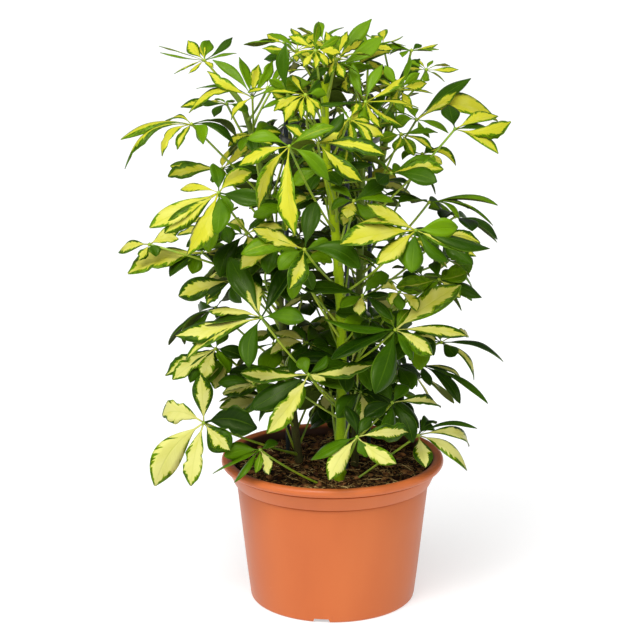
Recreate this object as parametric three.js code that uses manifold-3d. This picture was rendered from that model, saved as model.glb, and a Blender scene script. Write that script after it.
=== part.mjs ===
// A potted umbrella plant: a bushy dwarf schefflera with yellow and green leaves, grown from four cuttings
// in one round plastic nursery pot, and held up by three canes and a hoop.
//
// Millimetres, +Z up, the front of the plant towards -Y. The origin is the centre of the pot's base, on the
// surface that it stands on.

import * as THREE from 'three';
import { mergeVertices } from 'three/addons/utils/BufferGeometryUtils.js';
import Module from 'manifold-3d';

const wasm = await Module();
wasm.setup();

// ---------------------------------------------------------------------------------------------------------
// Driving dimensions
// ---------------------------------------------------------------------------------------------------------

const GAP = 0.3; // air left between pieces that rest on, or grow out of, one another
const ROUND_SIDES = 40; // facets round the pot, the soil and the hoop

const POT_HEIGHT = 178;
const RIM_RADIUS = 135; // outside of the rolled rim
const RIM_DEPTH = 15; // height of the roll
const COLLAR_RADIUS = 124; // the band under the roll
const COLLAR_DEPTH = 15;
const WALL_TOP_RADIUS = 117;
const BASE_RADIUS = 101;
const WALL = 2.3;
const PAD_RADIUS = 62; // flat middle of the base, which stands on the floor
const FOOT_INNER_RADIUS = 86; // the foot ring, which stands on the floor too
const CHANNEL_HEIGHT = 5; // the raised channel between pad and foot ring
const DRAIN_HOLES = 8;
const DRAIN_RADIUS = 5;
const NOTCHES = 4; // slots in the foot ring that let the water out
const NOTCH_WIDTH = 21;
const NOTCH_TURN = -97.5; // azimuth of the front notch, in degrees

const SOIL_TOP = 164; // at the wall
const SOIL_CROWN = 4; // how much higher the soil is in the middle

const CANE_RADIUS = 2.8;
const CANE_FOOT = 22; // how far above the floor the canes end in the soil
const CANE_TOPS = { front: 578, right: 572, left: 584 };
const CANE_AZIMUTHS = { front: -70, right: 31, left: 165 };
const HOOP_CENTRE = new THREE.Vector3(-2, 25, 566);
const CANE_CIRCLE = 55; // distance of each cane's axis from the hoop's centre
const HOOP_HEIGHT = 7;
const HOOP_THICKNESS = 2.5;
const HOOP_TILT = 7; // degrees, lower at the front

// Each stem is a cutting rooted in the soil: its radius at the foot and the tip, and the points that it
// grows through.
const STEMS = {
  front: { foot: 6.6, tip: 4.4, through: [[8, -58, 95], [8, -58, 165], [11, -55, 300], [8, -52, 400],
    [1, -50, 490], [-7, -49, 560], [-9, -48, 636]] },
  right: { foot: 5.4, tip: 3.6, through: [[26, -4, 95], [27, -4, 165], [31, 0, 330], [34, 2, 500],
    [38, -4, 588]] },
  left: { foot: 5.4, tip: 3.2, through: [[-38, 8, 95], [-41, 8, 165], [-60, 6, 340], [-77, 4, 490],
    [-100, 0, 590], [-118, 0, 622]] },
  back: { foot: 5.4, tip: 3.4, through: [[20, 68, 95], [21, 70, 165], [32, 84, 350], [56, 84, 500],
    [76, 66, 622]] },
};

// The leaves of each stem, from the lowest up. A leaf stalk leaves its stem at the height `node` and ends
// in the hub, from which the leaflets spread like the ribs of an umbrella. `tilt` is how far the umbrella
// leans over, in degrees from level, and `face` is the azimuth that it leans towards. `length` is that of
// its longest leaflets and `droop` the angle that they bend through. Each leaflet is given by its direction
// in degrees round the hub and a letter for its colour: g green, d dark green, v green and yellow, y
// yellow, c cream, l light green. A capital is a large one. Its own share of the leaf's length, in percent,
// its own bend and how far it rolls over, in degrees, may follow.
const LEAVES = {
  front: [
    { node: 150, hub: [-84, -92, 213], tilt: 46, face: -105, length: 60, droop: 44,
      blades: '202g96/36/40 230g92/20/30 168G66/20 146g60 262l50/20 290Y54/14/0 30g40' },
    { node: 150, hub: [101, -64, 222], tilt: 38, face: -78, length: 72, droop: 40,
      blades: '290V66/20/0 320Y92/14/0 340Y114/24/10 354y104/40/40 14g88/24/50 34d60/30 190g60 150d60' },
    { node: 172, hub: [28, -132, 241], tilt: 58, face: -90, length: 60, droop: 36,
      blades: '24G118/70/10 106d66/20 60d50 194G92/50/20 234Y92/10/0 324Y86/10/0 300g44' },
    { node: 200, hub: [69, -92, 270], tilt: 44, face: -80, length: 64, droop: 40,
      blades: '352V104/34/20 302D78/40/10 256D66/30/0 205d62 60g50 120d50' },
    { node: 240, hub: [-58, -58, 290], tilt: 36, face: -110, length: 76, droop: 44,
      blades: '150d 178v 212D 240d 300g 60d' },
    { node: 250, hub: [-27, -118, 311], tilt: 56, face: -95, length: 76, droop: 26,
      blades: '4v96/10/20 50g40 112g30 170v104/24/50 236Y98/16/0 338y28/10 204d104/30' },
    { node: 255, hub: [-80, -128, 380], tilt: 46, face: -100, length: 86, droop: 36,
      blades: '60D78/6/-10 116D82/6/10 98y52/10 172Y84/20/30 '
        + '190V100/30/10 206V100/36 174d136/56/20 258G62/30/0 350G52/16/10' },
    { node: 300, hub: [71, -112, 362], tilt: 52, face: -82, length: 84, droop: 34,
      blades: '12Y108/24/10 328V80/20/0 252D94/10/0 208d102/20/50 174g100/14/30 62l40 118l40 300g50' },
    { node: 288, hub: [76, -96, 402], tilt: 30, face: -70, length: 36, droop: 60,
      blades: '30g 150y 232y 275g 322y' },
    { node: 388, hub: [92, -134, 481], tilt: 60, face: -80, length: 78, droop: 34,
      blades: '18G58/10/0 357d112/30 346V84/40 316g62/30 '
        + '262G58/16/0 222Y72/10/0 190Y100/26/20 174y84/20/30 154Y68/4/0' },
    { node: 398, hub: [-31, -142, 461], tilt: 50, face: -92, length: 76, droop: 40,
      blades: '78D 30g 342G 240v 212g 186y 164L' },
    { node: 335, hub: [-38, -96, 432], tilt: 34, face: -110, length: 62, droop: 50,
      blades: '150d 200d 250g 300d 20g' },
    { node: 448, hub: [140, -42, 581], tilt: 24, face: -60, length: 74, droop: 40,
      blades: '120D56/10/0 70d46 34Y70/16/0 12Y66/20/0 354y108/-10/-20 332y104/26/-10 230g40 300g40' },
    { node: 462, hub: [-47, -152, 577], tilt: 64, face: -96, length: 86, droop: 24,
      blades: '162g55 190Y62/40 242Y80 275Y104 322g70 25l62' },
    { node: 482, hub: [-16, -142, 579], tilt: 56, face: -84, length: 66, droop: 34,
      blades: '55D60/10/0 28y40/0 110g40 150v60/20 205g40 318V90/16/10 350V98/20/20' },
    { node: 520, hub: [66, -74, 535], tilt: 24, face: -75, length: 64, droop: 44,
      blades: '240D46/10/0 342D82/20/0 336d100/60/20 4v92/10/30 22g90/20/50 60g40 150g60/20' },
    { node: 590, hub: [-19, -78, 673], tilt: 56, face: -90, length: 36, droop: 30,
      blades: '0y 40l 85l 140l 190y 232y 270y 314y' },
    { node: 600, hub: [2, -38, 652], tilt: 62, face: -70, length: 62, droop: 16,
      blades: '55g112/4 35g106/4 12g80/30 78l60 104g50 205d60/40 240d45 150g60/30' },
  ],
  right: [
    { node: 250, hub: [120, 22, 276], tilt: 24, face: -60, length: 78, droop: 50,
      blades: '346d100/50/50 10g56/40/30 334v52/30/40 300D60/20/10 284d84/40/20 190d50 120d40' },
    { node: 300, hub: [130, -6, 320], tilt: 28, face: -60, length: 78, droop: 50,
      blades: '350d106/46/40 330v78/56/30 296D36/10 20g40 200d60/30 150d50 90g40' },
    { node: 340, hub: [124, -42, 405], tilt: 40, face: -75, length: 58, droop: 40,
      blades: '8L70/10/0 340d100/30/20 318v60/30 196L84/30/0 240g60/30 100g50 50l40' },
    { node: 400, hub: [112, -30, 484], tilt: 8, face: 60, length: 80, droop: 48,
      blades: '180d64/20 168g56/14 4v94/50 350g96/66 330l60/66 24g70/40 60d50 120d50 205g50/40' },
    { node: 470, hub: [79, -28, 573], tilt: 40, face: -70, length: 46, droop: 34,
      blades: '340v 20g 250l 205l 120g 300l' },
    { node: 520, hub: [37, -78, 616], tilt: 46, face: -90, length: 56, droop: 26,
      blades: '34Y84/0/-40 66G76/0/0 108G76/0/0 186d104/20/40 '
        + '236y64/20/-30 268l60/30 296y70/30/-40 322Y84/20/-30 356Y94/20/-40' },
  ],
  left: [
    { node: 170, hub: [-68, 4, 247], tilt: 20, face: -100, length: 62, droop: 34,
      blades: '168d104/20/50 180v112/24/40 196Y100/14/10 10d60 60d60 300g60 245g50' },
    { node: 175, hub: [-150, -82, 243], tilt: 76, face: -98, length: 86, droop: 14,
      blades: '18D60/30 92c62/10/0 174c70/50/40 234C102/10/0 260C88/10/0 314V56/20/0' },
    { node: 210, hub: [-92, -62, 284], tilt: 20, face: -100, length: 50, droop: 40,
      blades: '165g90 195y80 130d60 12V90/20/20 330g70 300g60 70D60' },
    { node: 240, hub: [-138, -32, 319], tilt: 44, face: -110, length: 66, droop: 40,
      blades: '200v104/30 214Y100/20/10 230d80/40 256Y60/16/0 300g60/40 344D52 150g50 60d40' },
    { node: 285, hub: [-140, 14, 358], tilt: 30, face: -170, length: 66, droop: 56,
      blades: '200D 172d 230g 120d 60d 300d' },
    { node: 320, hub: [-115, -62, 409], tilt: 36, face: -125, length: 62, droop: 36,
      blades: '186V92/20/0 204d80/30 216v70/40 130g50 60d60 290d70 335d70' },
    { node: 370, hub: [-153, -22, 433], tilt: 42, face: -105, length: 52, droop: 36,
      blades: '218d96/20/0 240g60 332Y66/10/0 312d90/30 60g50 120d50 20g60' },
    { node: 385, hub: [-197, -34, 440], tilt: 30, face: -130, length: 50, droop: 34,
      blades: '168V100/60/0 206V92/20/0 222v60 35y50/10 8g40/40 270g50 80g50' },
    { node: 420, hub: [-126, -122, 521], tilt: 56, face: -100, length: 84, droop: 34,
      blades: '98g45 38Y50 350D66/30 305y45 268G54/20/0 236Y86/30/0 202L92/26/0 214v90/30 166y60/60' },
    { node: 455, hub: [-130, 4, 528], tilt: 26, face: -110, length: 58, droop: 30,
      blades: '55y70/10 105y60/0 176V100/20 192v105/25 320d70/50 352d80/50 250g50' },
    { node: 490, hub: [-160, -54, 588], tilt: 17, face: -112, length: 84, droop: 60,
      blades: '8d78/70/-10 345d85/75/10 296g52/60 250v60/60 222y78/80/-10 198v124/72/6 178v116/58/20' },
    { node: 540, hub: [-122, -14, 606], tilt: 16, face: -105, length: 60, droop: 44,
      blades: '174v104/50/16 190y92/46/6 183d70/20/16 238Y66/50/-10 60g50 120g50 320g60' },
    { node: 560, hub: [-90, -66, 620], tilt: 48, face: -95, length: 60, droop: 20,
      blades: '145g88/6 106G76/4 64g84/6 152L96/30 14L100/16 186l75 222Y66/40 78y64/0' },
    { node: 600, hub: [-148, 0, 655], tilt: 24, face: -80, length: 48, droop: 12,
      blades: '170y108/16/30 180l100/16/24 204y74/20/20 224y52/30/10 '
        + '100Y50/0 124y54/0 80g50/0 48g88/0/-20 18d66/6/-10' },
  ],
  back: [
    { node: 190, hub: [92, 112, 250], tilt: 34, face: 40, length: 74, droop: 48,
      blades: '0g 52y 104g 156d 208d 260g 312v' },
    { node: 215, hub: [-40, 142, 262], tilt: 38, face: 110, length: 74, droop: 48,
      blades: '10d 62v 114g 166y 218d 270d 322g' },
    { node: 290, hub: [30, 172, 330], tilt: 44, face: 85, length: 80, droop: 44,
      blades: '20y 70v 120g 170v 225d 275d 330d' },
    { node: 330, hub: [-96, 122, 400], tilt: 36, face: 130, length: 78, droop: 46,
      blades: '10d 60g 112y 164v 216g 268d 320d' },
    { node: 370, hub: [142, 92, 400], tilt: 34, face: 35, length: 76, droop: 46,
      blades: '0v 52g 104y 156d 208d 260d 312g' },
    { node: 440, hub: [40, 172, 490], tilt: 44, face: 90, length: 80, droop: 42,
      blades: '20v 70y 120y 170g 225d 275d 330g' },
    { node: 480, hub: [-72, 116, 556], tilt: 34, face: 120, length: 72, droop: 42,
      blades: '12g 62y 114v 166g 218d 270d 322g' },
    { node: 520, hub: [98, 2, 586], tilt: 30, face: -70, length: 66, droop: 36,
      blades: '46D92/10/0 16Y130/50/10 32y80/0/-30 338G60/50/0 300l50 200g56/30 166d50 100g40' },
    { node: 560, hub: [92, 24, 664], tilt: 12, face: -70, length: 50, droop: 16,
      blades: '176g66/20/12 158g56/10/12 50D34/10/10 24Y60/0/0 '
        + '352l64/10/-12 332l54/10/-12 205g60/40/10 240g50/40/40' },
    { node: 585, hub: [-56, 14, 674], tilt: 12, face: -90, length: 48, droop: 24,
      blades: '184l100/34/24 172g70/30/20 150Y44/0/-30 105g40/0 60g62/46/-10 18y78/16/-10 350g60 290g50' },
  ],
};

// A leaflet's short form: direction, letter, share, bend and roll.
const BLADE = /^(\d+)([a-z])(\d*)\/?(-?\d*)\/?(-?\d*)$/i;

const STALK_RADIUS = 1.45;
const HUB_RADIUS = 3.6;
const LEAFLET_WIDTH = 0.4; // of its length in a leaflet as long as this:
const BROAD_LENGTH = 50; // longer leaflets are more slender
const LEAFLET_THICKNESS = 1.5; // a solid stand-in: the real blade is thinner
const LEAFLET_LIFT = 14; // how far a leaflet first rises from the umbrella's plane, in degrees
const LARGE = 1.14; // a large leaflet against an ordinary one
const STALK_SIDE = { far: 0.84, swing: 0.22 }; // leaflets beside the stalk are shorter than those opposite

// How a leaflet gives way where another one is in its place: turn and bend in degrees, and share of its
// length.
const GIVE = [[0, 0, 1], [0, 12, 1], [0, -12, 1], [7, 0, 1], [-7, 0, 1], [7, 14, 1], [-7, 14, 1],
  [7, -14, 1], [-7, -14, 1], [0, 26, 0.95], [0, -26, 0.95], [14, 0, 0.9], [-14, 0, 0.9], [14, 20, 0.85],
  [-14, 20, 0.85],
  [0, 0, 0.78], [0, 24, 0.7], [0, -24, 0.7], [10, 0, 0.6], [-10, 0, 0.6], [0, 0, 0.5], [0, 0, 0.4]];
// How a stalk gives way: its middle moves sideways and up, in mm.
const STALK_GIVE = [[0, 0], [7, 0], [-7, 0], [0, 8], [0, -8], [12, 6], [-12, 6], [12, -8], [-12, -8],
  [20, 0], [-20, 0], [0, 18], [28, 8], [-28, 8]];

// ---------------------------------------------------------------------------------------------------------
// Helpers: solids, curves and a steady variation
// ---------------------------------------------------------------------------------------------------------

const radians = THREE.MathUtils.degToRad;
const UP = new THREE.Vector3(0, 0, 1);

function solidOf(geometry) {
  geometry.deleteAttribute('normal');
  geometry.deleteAttribute('uv');
  const merged = mergeVertices(geometry, 1e-4);
  return new wasm.Manifold(new wasm.Mesh({
    numProp: 3,
    vertProperties: new Float32Array(merged.attributes.position.array),
    triVerts: new Uint32Array(merged.index.array),
  }));
}

function geometryOf(solid) {
  const mesh = solid.getMesh();
  const geometry = new THREE.BufferGeometry();
  geometry.setAttribute('position', new THREE.BufferAttribute(mesh.vertProperties, 3));
  geometry.setIndex(new THREE.BufferAttribute(mesh.triVerts, 1));
  return geometry;
}

// A lathe profile is [radius, height] pairs; the turned shape stands along Z.
function turned(profile) {
  const points = profile.map(([radius, height]) => new THREE.Vector2(radius, height));
  return solidOf(new THREE.LatheGeometry(points, ROUND_SIDES).rotateX(Math.PI / 2));
}

// Lays a shape that stands along Y, from -0.5 to 0.5, along a curve. `side` points across the shape, and
// `across` and `through` give its half sizes at t, from 0 at the start of the curve to 1 at its end.
function laidAlong(shape, curve, side, across, through) {
  const position = shape.attributes.position;
  for (let i = 0; i < position.count; i += 1) {
    const t = THREE.MathUtils.clamp(position.getY(i) + 0.5, 0, 1);
    const tangent = curve.getTangent(t);
    const flat = side.clone().addScaledVector(tangent, -side.dot(tangent)).normalize();
    const top = new THREE.Vector3().crossVectors(flat, tangent);
    const point = curve.getPoint(t)
      .addScaledVector(flat, position.getX(i) * across(t))
      .addScaledVector(top, position.getZ(i) * through(t));
    position.setXYZ(i, point.x, point.y, point.z);
  }
  const solid = solidOf(shape);
  if (solid.volume() < 0) throw new Error('a laid shape is inside out');
  return solid;
}

// A number from 0 to 1 that looks random and is the same every time for the same key.
function variation(key) {
  const wave = Math.sin(key * 12.9898) * 43758.5453;
  return wave - Math.floor(wave);
}

function direction(azimuth) {
  return new THREE.Vector3(Math.cos(radians(azimuth)), Math.sin(radians(azimuth)), 0);
}

// ---------------------------------------------------------------------------------------------------------
// What is already in its place: a new leaf keeps clear of all of it
// ---------------------------------------------------------------------------------------------------------

const placed = [];

function boxOf(solid) {
  const { min, max } = solid.boundingBox();
  return new THREE.Box3(new THREE.Vector3(...min), new THREE.Vector3(...max));
}

function place(solid) {
  placed.push({ solid, box: boxOf(solid) });
}

function isClear(solid, except) {
  const box = boxOf(solid);
  return placed.every((other) => {
    if (other.solid === except || !other.box.intersectsBox(box)) return true;
    const shared = solid.intersect(other.solid);
    const clear = shared.isEmpty() || shared.volume() < 1e-4;
    shared.delete();
    return clear;
  });
}

// ---------------------------------------------------------------------------------------------------------
// The pot
// ---------------------------------------------------------------------------------------------------------

const plant = new THREE.Group();

function add(name, solid, colour, roughness) {
  const material = new THREE.MeshStandardMaterial({ color: colour, roughness, metalness: 0 });
  const mesh = new THREE.Mesh(geometryOf(solid), material);
  mesh.name = name;
  plant.add(mesh);
}

// One thin moulded wall: pad, raised channel, foot ring, tapering wall, collar, rolled rim, and back down
// inside.
function makePot() {
  const collarTop = POT_HEIGHT - RIM_DEPTH;
  const collarFoot = collarTop - COLLAR_DEPTH;
  const inner = BASE_RADIUS - WALL;
  const pot = turned([
    [0, 0], [PAD_RADIUS, 0], [PAD_RADIUS + 2, CHANNEL_HEIGHT], [FOOT_INNER_RADIUS - 2, CHANNEL_HEIGHT],
    [FOOT_INNER_RADIUS, 0], [BASE_RADIUS - 3, 0], [BASE_RADIUS - 0.8, 1.4], [BASE_RADIUS + 0.4, 5],
    [WALL_TOP_RADIUS, collarFoot - 2], [COLLAR_RADIUS - 4, collarFoot], [COLLAR_RADIUS, collarTop],
    [RIM_RADIUS - 6, collarTop - 0.6], [RIM_RADIUS - 1.6, collarTop + 2.6], [RIM_RADIUS, collarTop + 7.5],
    [RIM_RADIUS - 1.6, POT_HEIGHT - 3], [RIM_RADIUS - 5.5, POT_HEIGHT], [RIM_RADIUS - 9.5, POT_HEIGHT - 0.4],
    [RIM_RADIUS - 13, POT_HEIGHT - 3.6], [COLLAR_RADIUS - WALL - 0.3, collarTop],
    [COLLAR_RADIUS - 4 - WALL, collarFoot + 1.2], [WALL_TOP_RADIUS - WALL, collarFoot - 1.4],
    [inner + 0.6, 7], [inner - 1.6, WALL], [FOOT_INNER_RADIUS + 1.6, WALL],
    [FOOT_INNER_RADIUS - 0.6, CHANNEL_HEIGHT + WALL], [PAD_RADIUS + 0.6, CHANNEL_HEIGHT + WALL],
    [PAD_RADIUS - 1.4, WALL], [0, WALL],
  ]);
  let cut = pot;
  const holeCircle = (PAD_RADIUS + FOOT_INNER_RADIUS) / 2;
  for (let i = 0; i < DRAIN_HOLES; i += 1) {
    const at = direction((360 * (i + 0.5)) / DRAIN_HOLES).multiplyScalar(holeCircle);
    const drill = new THREE.CylinderGeometry(DRAIN_RADIUS, DRAIN_RADIUS, 20, 10).rotateX(Math.PI / 2);
    cut = cut.subtract(solidOf(drill.translate(at.x, at.y, 6)));
  }
  for (let i = 0; i < NOTCHES; i += 1) {
    const turn = NOTCH_TURN + (360 * i) / NOTCHES;
    const at = direction(turn).multiplyScalar(BASE_RADIUS - 4);
    const slot = new THREE.BoxGeometry(26, NOTCH_WIDTH, 2 * CHANNEL_HEIGHT).rotateZ(radians(turn));
    cut = cut.subtract(solidOf(slot.translate(at.x, at.y, 0)));
  }
  return cut;
}

const pot = makePot();
place(pot);
add('pot', pot, 0xc9754a, 0.45);

// ---------------------------------------------------------------------------------------------------------
// The stems
// ---------------------------------------------------------------------------------------------------------

for (const stem of Object.values(STEMS)) {
  stem.curve = new THREE.CatmullRomCurve3(stem.through.map((point) => new THREE.Vector3(...point)));
}

function stemSolid(stem, grow) {
  const radius = (t) => THREE.MathUtils.lerp(stem.foot, stem.tip, t) + grow;
  const side = new THREE.Vector3(1, 0, 0);
  return laidAlong(new THREE.CylinderGeometry(1, 1, 1, 8, 12), stem.curve, side, radius, radius);
}

// The point of the stem's axis at a height, found by halving, since every stem rises all the way.
function stemPoint(stem, height) {
  let low = 0;
  let high = 1;
  for (let i = 0; i < 24; i += 1) {
    const middle = (low + high) / 2;
    if (stem.curve.getPoint(middle).z < height) low = middle;
    else high = middle;
  }
  return stem.curve.getPoint(low);
}

for (const [name, stem] of Object.entries(STEMS)) {
  stem.solid = stemSolid(stem, 0);
  stem.room = stemSolid(stem, GAP);
  place(stem.solid);
  add(`${name}_stem`, stem.solid, name === 'front' ? 0x93ad2a : 0x6f7f2c, 0.6);
}

// ---------------------------------------------------------------------------------------------------------
// The canes and the hoop round them
// ---------------------------------------------------------------------------------------------------------

function caneSolid(name, grow) {
  const length = CANE_TOPS[name] - CANE_FOOT;
  const at = direction(CANE_AZIMUTHS[name]).multiplyScalar(CANE_CIRCLE).add(HOOP_CENTRE);
  const radius = CANE_RADIUS + grow;
  const cane = new THREE.CylinderGeometry(radius, radius, length, 10).rotateX(Math.PI / 2);
  return solidOf(cane.translate(at.x, at.y, CANE_FOOT + length / 2));
}

for (const name of Object.keys(CANE_TOPS)) {
  const cane = caneSolid(name, 0);
  place(cane);
  add(`${name}_cane`, cane, 0x27333a, 0.4);
}

function makeHoop() {
  const inner = (CANE_CIRCLE + CANE_RADIUS + GAP) / Math.cos(radians(HOOP_TILT));
  const half = HOOP_HEIGHT / 2;
  const outer = inner + HOOP_THICKNESS;
  const profile = [[inner, -half], [outer, -half], [outer, half], [inner, half], [inner, -half]];
  const band = new THREE.LatheGeometry(profile.map((pair) => new THREE.Vector2(...pair)), ROUND_SIDES);
  band.rotateX(Math.PI / 2 + radians(HOOP_TILT));
  let hoop = solidOf(band.translate(HOOP_CENTRE.x, HOOP_CENTRE.y, HOOP_CENTRE.z));
  for (const name of Object.keys(CANE_TOPS)) hoop = hoop.subtract(caneSolid(name, GAP));
  return hoop;
}

const hoop = makeHoop();
place(hoop);
add('hoop', hoop, 0x2b2d24, 0.5);

// ---------------------------------------------------------------------------------------------------------
// The leaves
// ---------------------------------------------------------------------------------------------------------

// The umbrella's own axes: `normal` out of its top, and `right` and `over` in its plane.
function setUpLeaf(leaf, stem, number) {
  leaf.number = number;
  leaf.hubPoint = new THREE.Vector3(...leaf.hub);
  leaf.root = stemPoint(stem, leaf.node);
  const lean = radians(leaf.tilt);
  leaf.normal = direction(leaf.face).multiplyScalar(Math.sin(lean)).addScaledVector(UP, Math.cos(lean));
  leaf.right = new THREE.Vector3(1, 0, 0);
  leaf.right.addScaledVector(leaf.normal, -leaf.right.dot(leaf.normal)).normalize();
  leaf.over = new THREE.Vector3().crossVectors(leaf.normal, leaf.right);
  const away = leaf.hubPoint.clone().sub(leaf.root);
  leaf.away = Math.atan2(away.dot(leaf.over), away.dot(leaf.right));
}

function stalkSolid(leaf, [sideways, lift], grow) {
  const along = leaf.hubPoint.clone().sub(leaf.root);
  const side = new THREE.Vector3().crossVectors(along, UP).normalize();
  const middle = leaf.root.clone().addScaledVector(along, 0.55)
    .addScaledVector(side, sideways)
    .addScaledVector(UP, lift - 0.08 * along.length());
  const curve = new THREE.QuadraticBezierCurve3(leaf.root, middle, leaf.hubPoint);
  const radius = () => STALK_RADIUS + grow;
  return laidAlong(new THREE.CylinderGeometry(1, 1, 1, 4, 3), curve, side, radius, radius);
}

function leafletCurve(leaf, blade, [turn, bend, share]) {
  const key = leaf.number * 17 + blade.number;
  const angle = radians(blade.angle + turn);
  const size = blade.share || STALK_SIDE.far + STALK_SIDE.swing * Math.cos(angle - leaf.away);
  const length = leaf.length * size * (blade.large ? LARGE : 1) * share;
  const flat = leaf.right.clone().multiplyScalar(Math.cos(angle))
    .addScaledVector(leaf.over, Math.sin(angle));
  const lift = radians(LEAFLET_LIFT);
  const start = flat.multiplyScalar(Math.cos(lift)).addScaledVector(leaf.normal, Math.sin(lift));
  const sag = new THREE.Vector3().sub(leaf.normal).sub(UP).normalize();
  const square = sag.addScaledVector(start, -sag.dot(start)).normalize();
  const droop = radians(blade.droop + bend + 16 * (variation(key) - 0.5));
  const end = start.clone().multiplyScalar(Math.cos(droop)).addScaledVector(square, Math.sin(droop));
  const middle = leaf.hubPoint.clone().addScaledVector(start, length * 0.52);
  const tip = middle.clone().addScaledVector(end, length * 0.5);
  const behind = leaf.hubPoint.clone().addScaledVector(start, -1.5);
  const curve = new THREE.QuadraticBezierCurve3(behind, middle, tip);
  const side = new THREE.Vector3().crossVectors(start, leaf.normal).normalize();
  return { curve, length, side: side.applyAxisAngle(start, blade.roll) };
}

function leafletSolid(leaf, blade, give, grow) {
  const { curve, length, side } = leafletCurve(leaf, blade, give);
  const shape = new THREE.SphereGeometry(1, 4, 3);
  const position = shape.attributes.position;
  for (let i = 0; i < position.count; i += 1) {
    // from a sphere's heights to even steps along the leaflet
    position.setY(i, 0.5 - Math.acos(THREE.MathUtils.clamp(position.getY(i), -1, 1)) / Math.PI);
  }
  const half = (Math.sqrt(length * BROAD_LENGTH) * LEAFLET_WIDTH) / 2;
  const across = (t) => (t < 0.5 ? 0.4 : 1.1) * half + grow;
  const through = (t) => (t < 0.5 ? 1.15 : 1) * (LEAFLET_THICKNESS / 2) + grow;
  return laidAlong(shape, curve, side, across, through);
}

function firstClear(choices, make, except) {
  return choices.find((choice) => {
    const room = make(choice, GAP);
    const clear = isClear(room, except);
    room.delete();
    return clear;
  });
}

const leaves = [];
for (const [name, stem] of Object.entries(STEMS)) {
  LEAVES[name].forEach((leaf, index) => {
    setUpLeaf(leaf, stem, leaves.length + 1);
    leaf.name = `${name}_leaf_${String(index + 1).padStart(2, '0')}`;
    leaf.stem = stem;
    leaf.leaflets = leaf.blades.split(' ').map((text, number) => {
      const [, angle, letter, share, droop, roll] = text.match(BLADE);
      return {
        number,
        angle: parseFloat(angle),
        large: letter < 'a',
        share: parseFloat(share || 0) / 100,
        droop: parseFloat(droop || leaf.droop),
        roll: radians(parseFloat(roll || 0)),
      };
    });
    leaves.push(leaf);
  });
}

// Stalks first, since leaflets give way more easily.
for (const leaf of leaves) {
  const way = firstClear(STALK_GIVE, (choice, grow) => stalkSolid(leaf, choice, grow), leaf.stem.solid);
  if (!way) throw new Error(`${leaf.name} has no room for its stalk`);
  const hub = new THREE.OctahedronGeometry(HUB_RADIUS).translate(...leaf.hub);
  leaf.solid = stalkSolid(leaf, way, 0).subtract(leaf.stem.room).add(solidOf(hub));
  place(leaf.solid);
}

for (const leaf of leaves) {
  const own = placed.find((other) => other.solid === leaf.solid);
  for (const leaflet of leaf.leaflets) {
    const give = firstClear(GIVE, (choice, grow) => leafletSolid(leaf, leaflet, choice, grow), leaf.solid);
    if (!give) continue; // it has no room at all, and is left out
    leaf.solid = leaf.solid.add(leafletSolid(leaf, leaflet, give, 0));
    own.solid = leaf.solid;
    own.box = boxOf(leaf.solid);
  }
  const yellow = (leaf.blades.match(/[yclv]/gi) ?? []).length > leaf.leaflets.length / 2;
  add(leaf.name, leaf.solid, yellow ? 0xb9c24a : 0x4f8a1c, 0.4);
}

// ---------------------------------------------------------------------------------------------------------
// The soil, round everything that stands in it
// ---------------------------------------------------------------------------------------------------------

function makeSoil() {
  const collarFoot = POT_HEIGHT - RIM_DEPTH - COLLAR_DEPTH;
  const floor = WALL + GAP;
  const channel = CHANNEL_HEIGHT + WALL + GAP;
  const wallFoot = BASE_RADIUS - WALL - GAP;
  const soilEdge = COLLAR_RADIUS - WALL - 0.3 - 2 * GAP;
  let soil = turned([
    [0, floor], [PAD_RADIUS - 2, floor], [PAD_RADIUS + 0.4, channel], [wallFoot, channel],
    [WALL_TOP_RADIUS - WALL - 2 * GAP, collarFoot - 1.4],
    [COLLAR_RADIUS - 4 - WALL - 2 * GAP, collarFoot + 1.4],
    [soilEdge, SOIL_TOP - 2.4], [soilEdge - 3, SOIL_TOP], [92, SOIL_TOP + 0.4 * SOIL_CROWN],
    [60, SOIL_TOP + SOIL_CROWN], [28, SOIL_TOP + 0.8 * SOIL_CROWN], [0, SOIL_TOP + SOIL_CROWN],
  ]);
  for (const stem of Object.values(STEMS)) soil = soil.subtract(stem.room);
  for (const name of Object.keys(CANE_TOPS)) soil = soil.subtract(caneSolid(name, GAP));
  for (const leaf of leaves) {
    if (leaf.node > SOIL_TOP + SOIL_CROWN) continue;
    soil = soil.subtract(stalkSolid(leaf, STALK_GIVE[0], GAP));
  }
  return soil;
}

add('soil', makeSoil(), 0x3b2a20, 0.95);

export default plant;
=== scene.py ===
"""A potted umbrella plant: a bushy dwarf schefflera with yellow and green leaves, four cuttings in one round
nursery pot, held up by three canes and a hoop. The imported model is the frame, and the front is towards -Y."""

import math
from collections import namedtuple

import bmesh
import bpy
from mathutils import Matrix, Vector, noise
from mathutils.bvhtree import BVHTree


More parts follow.
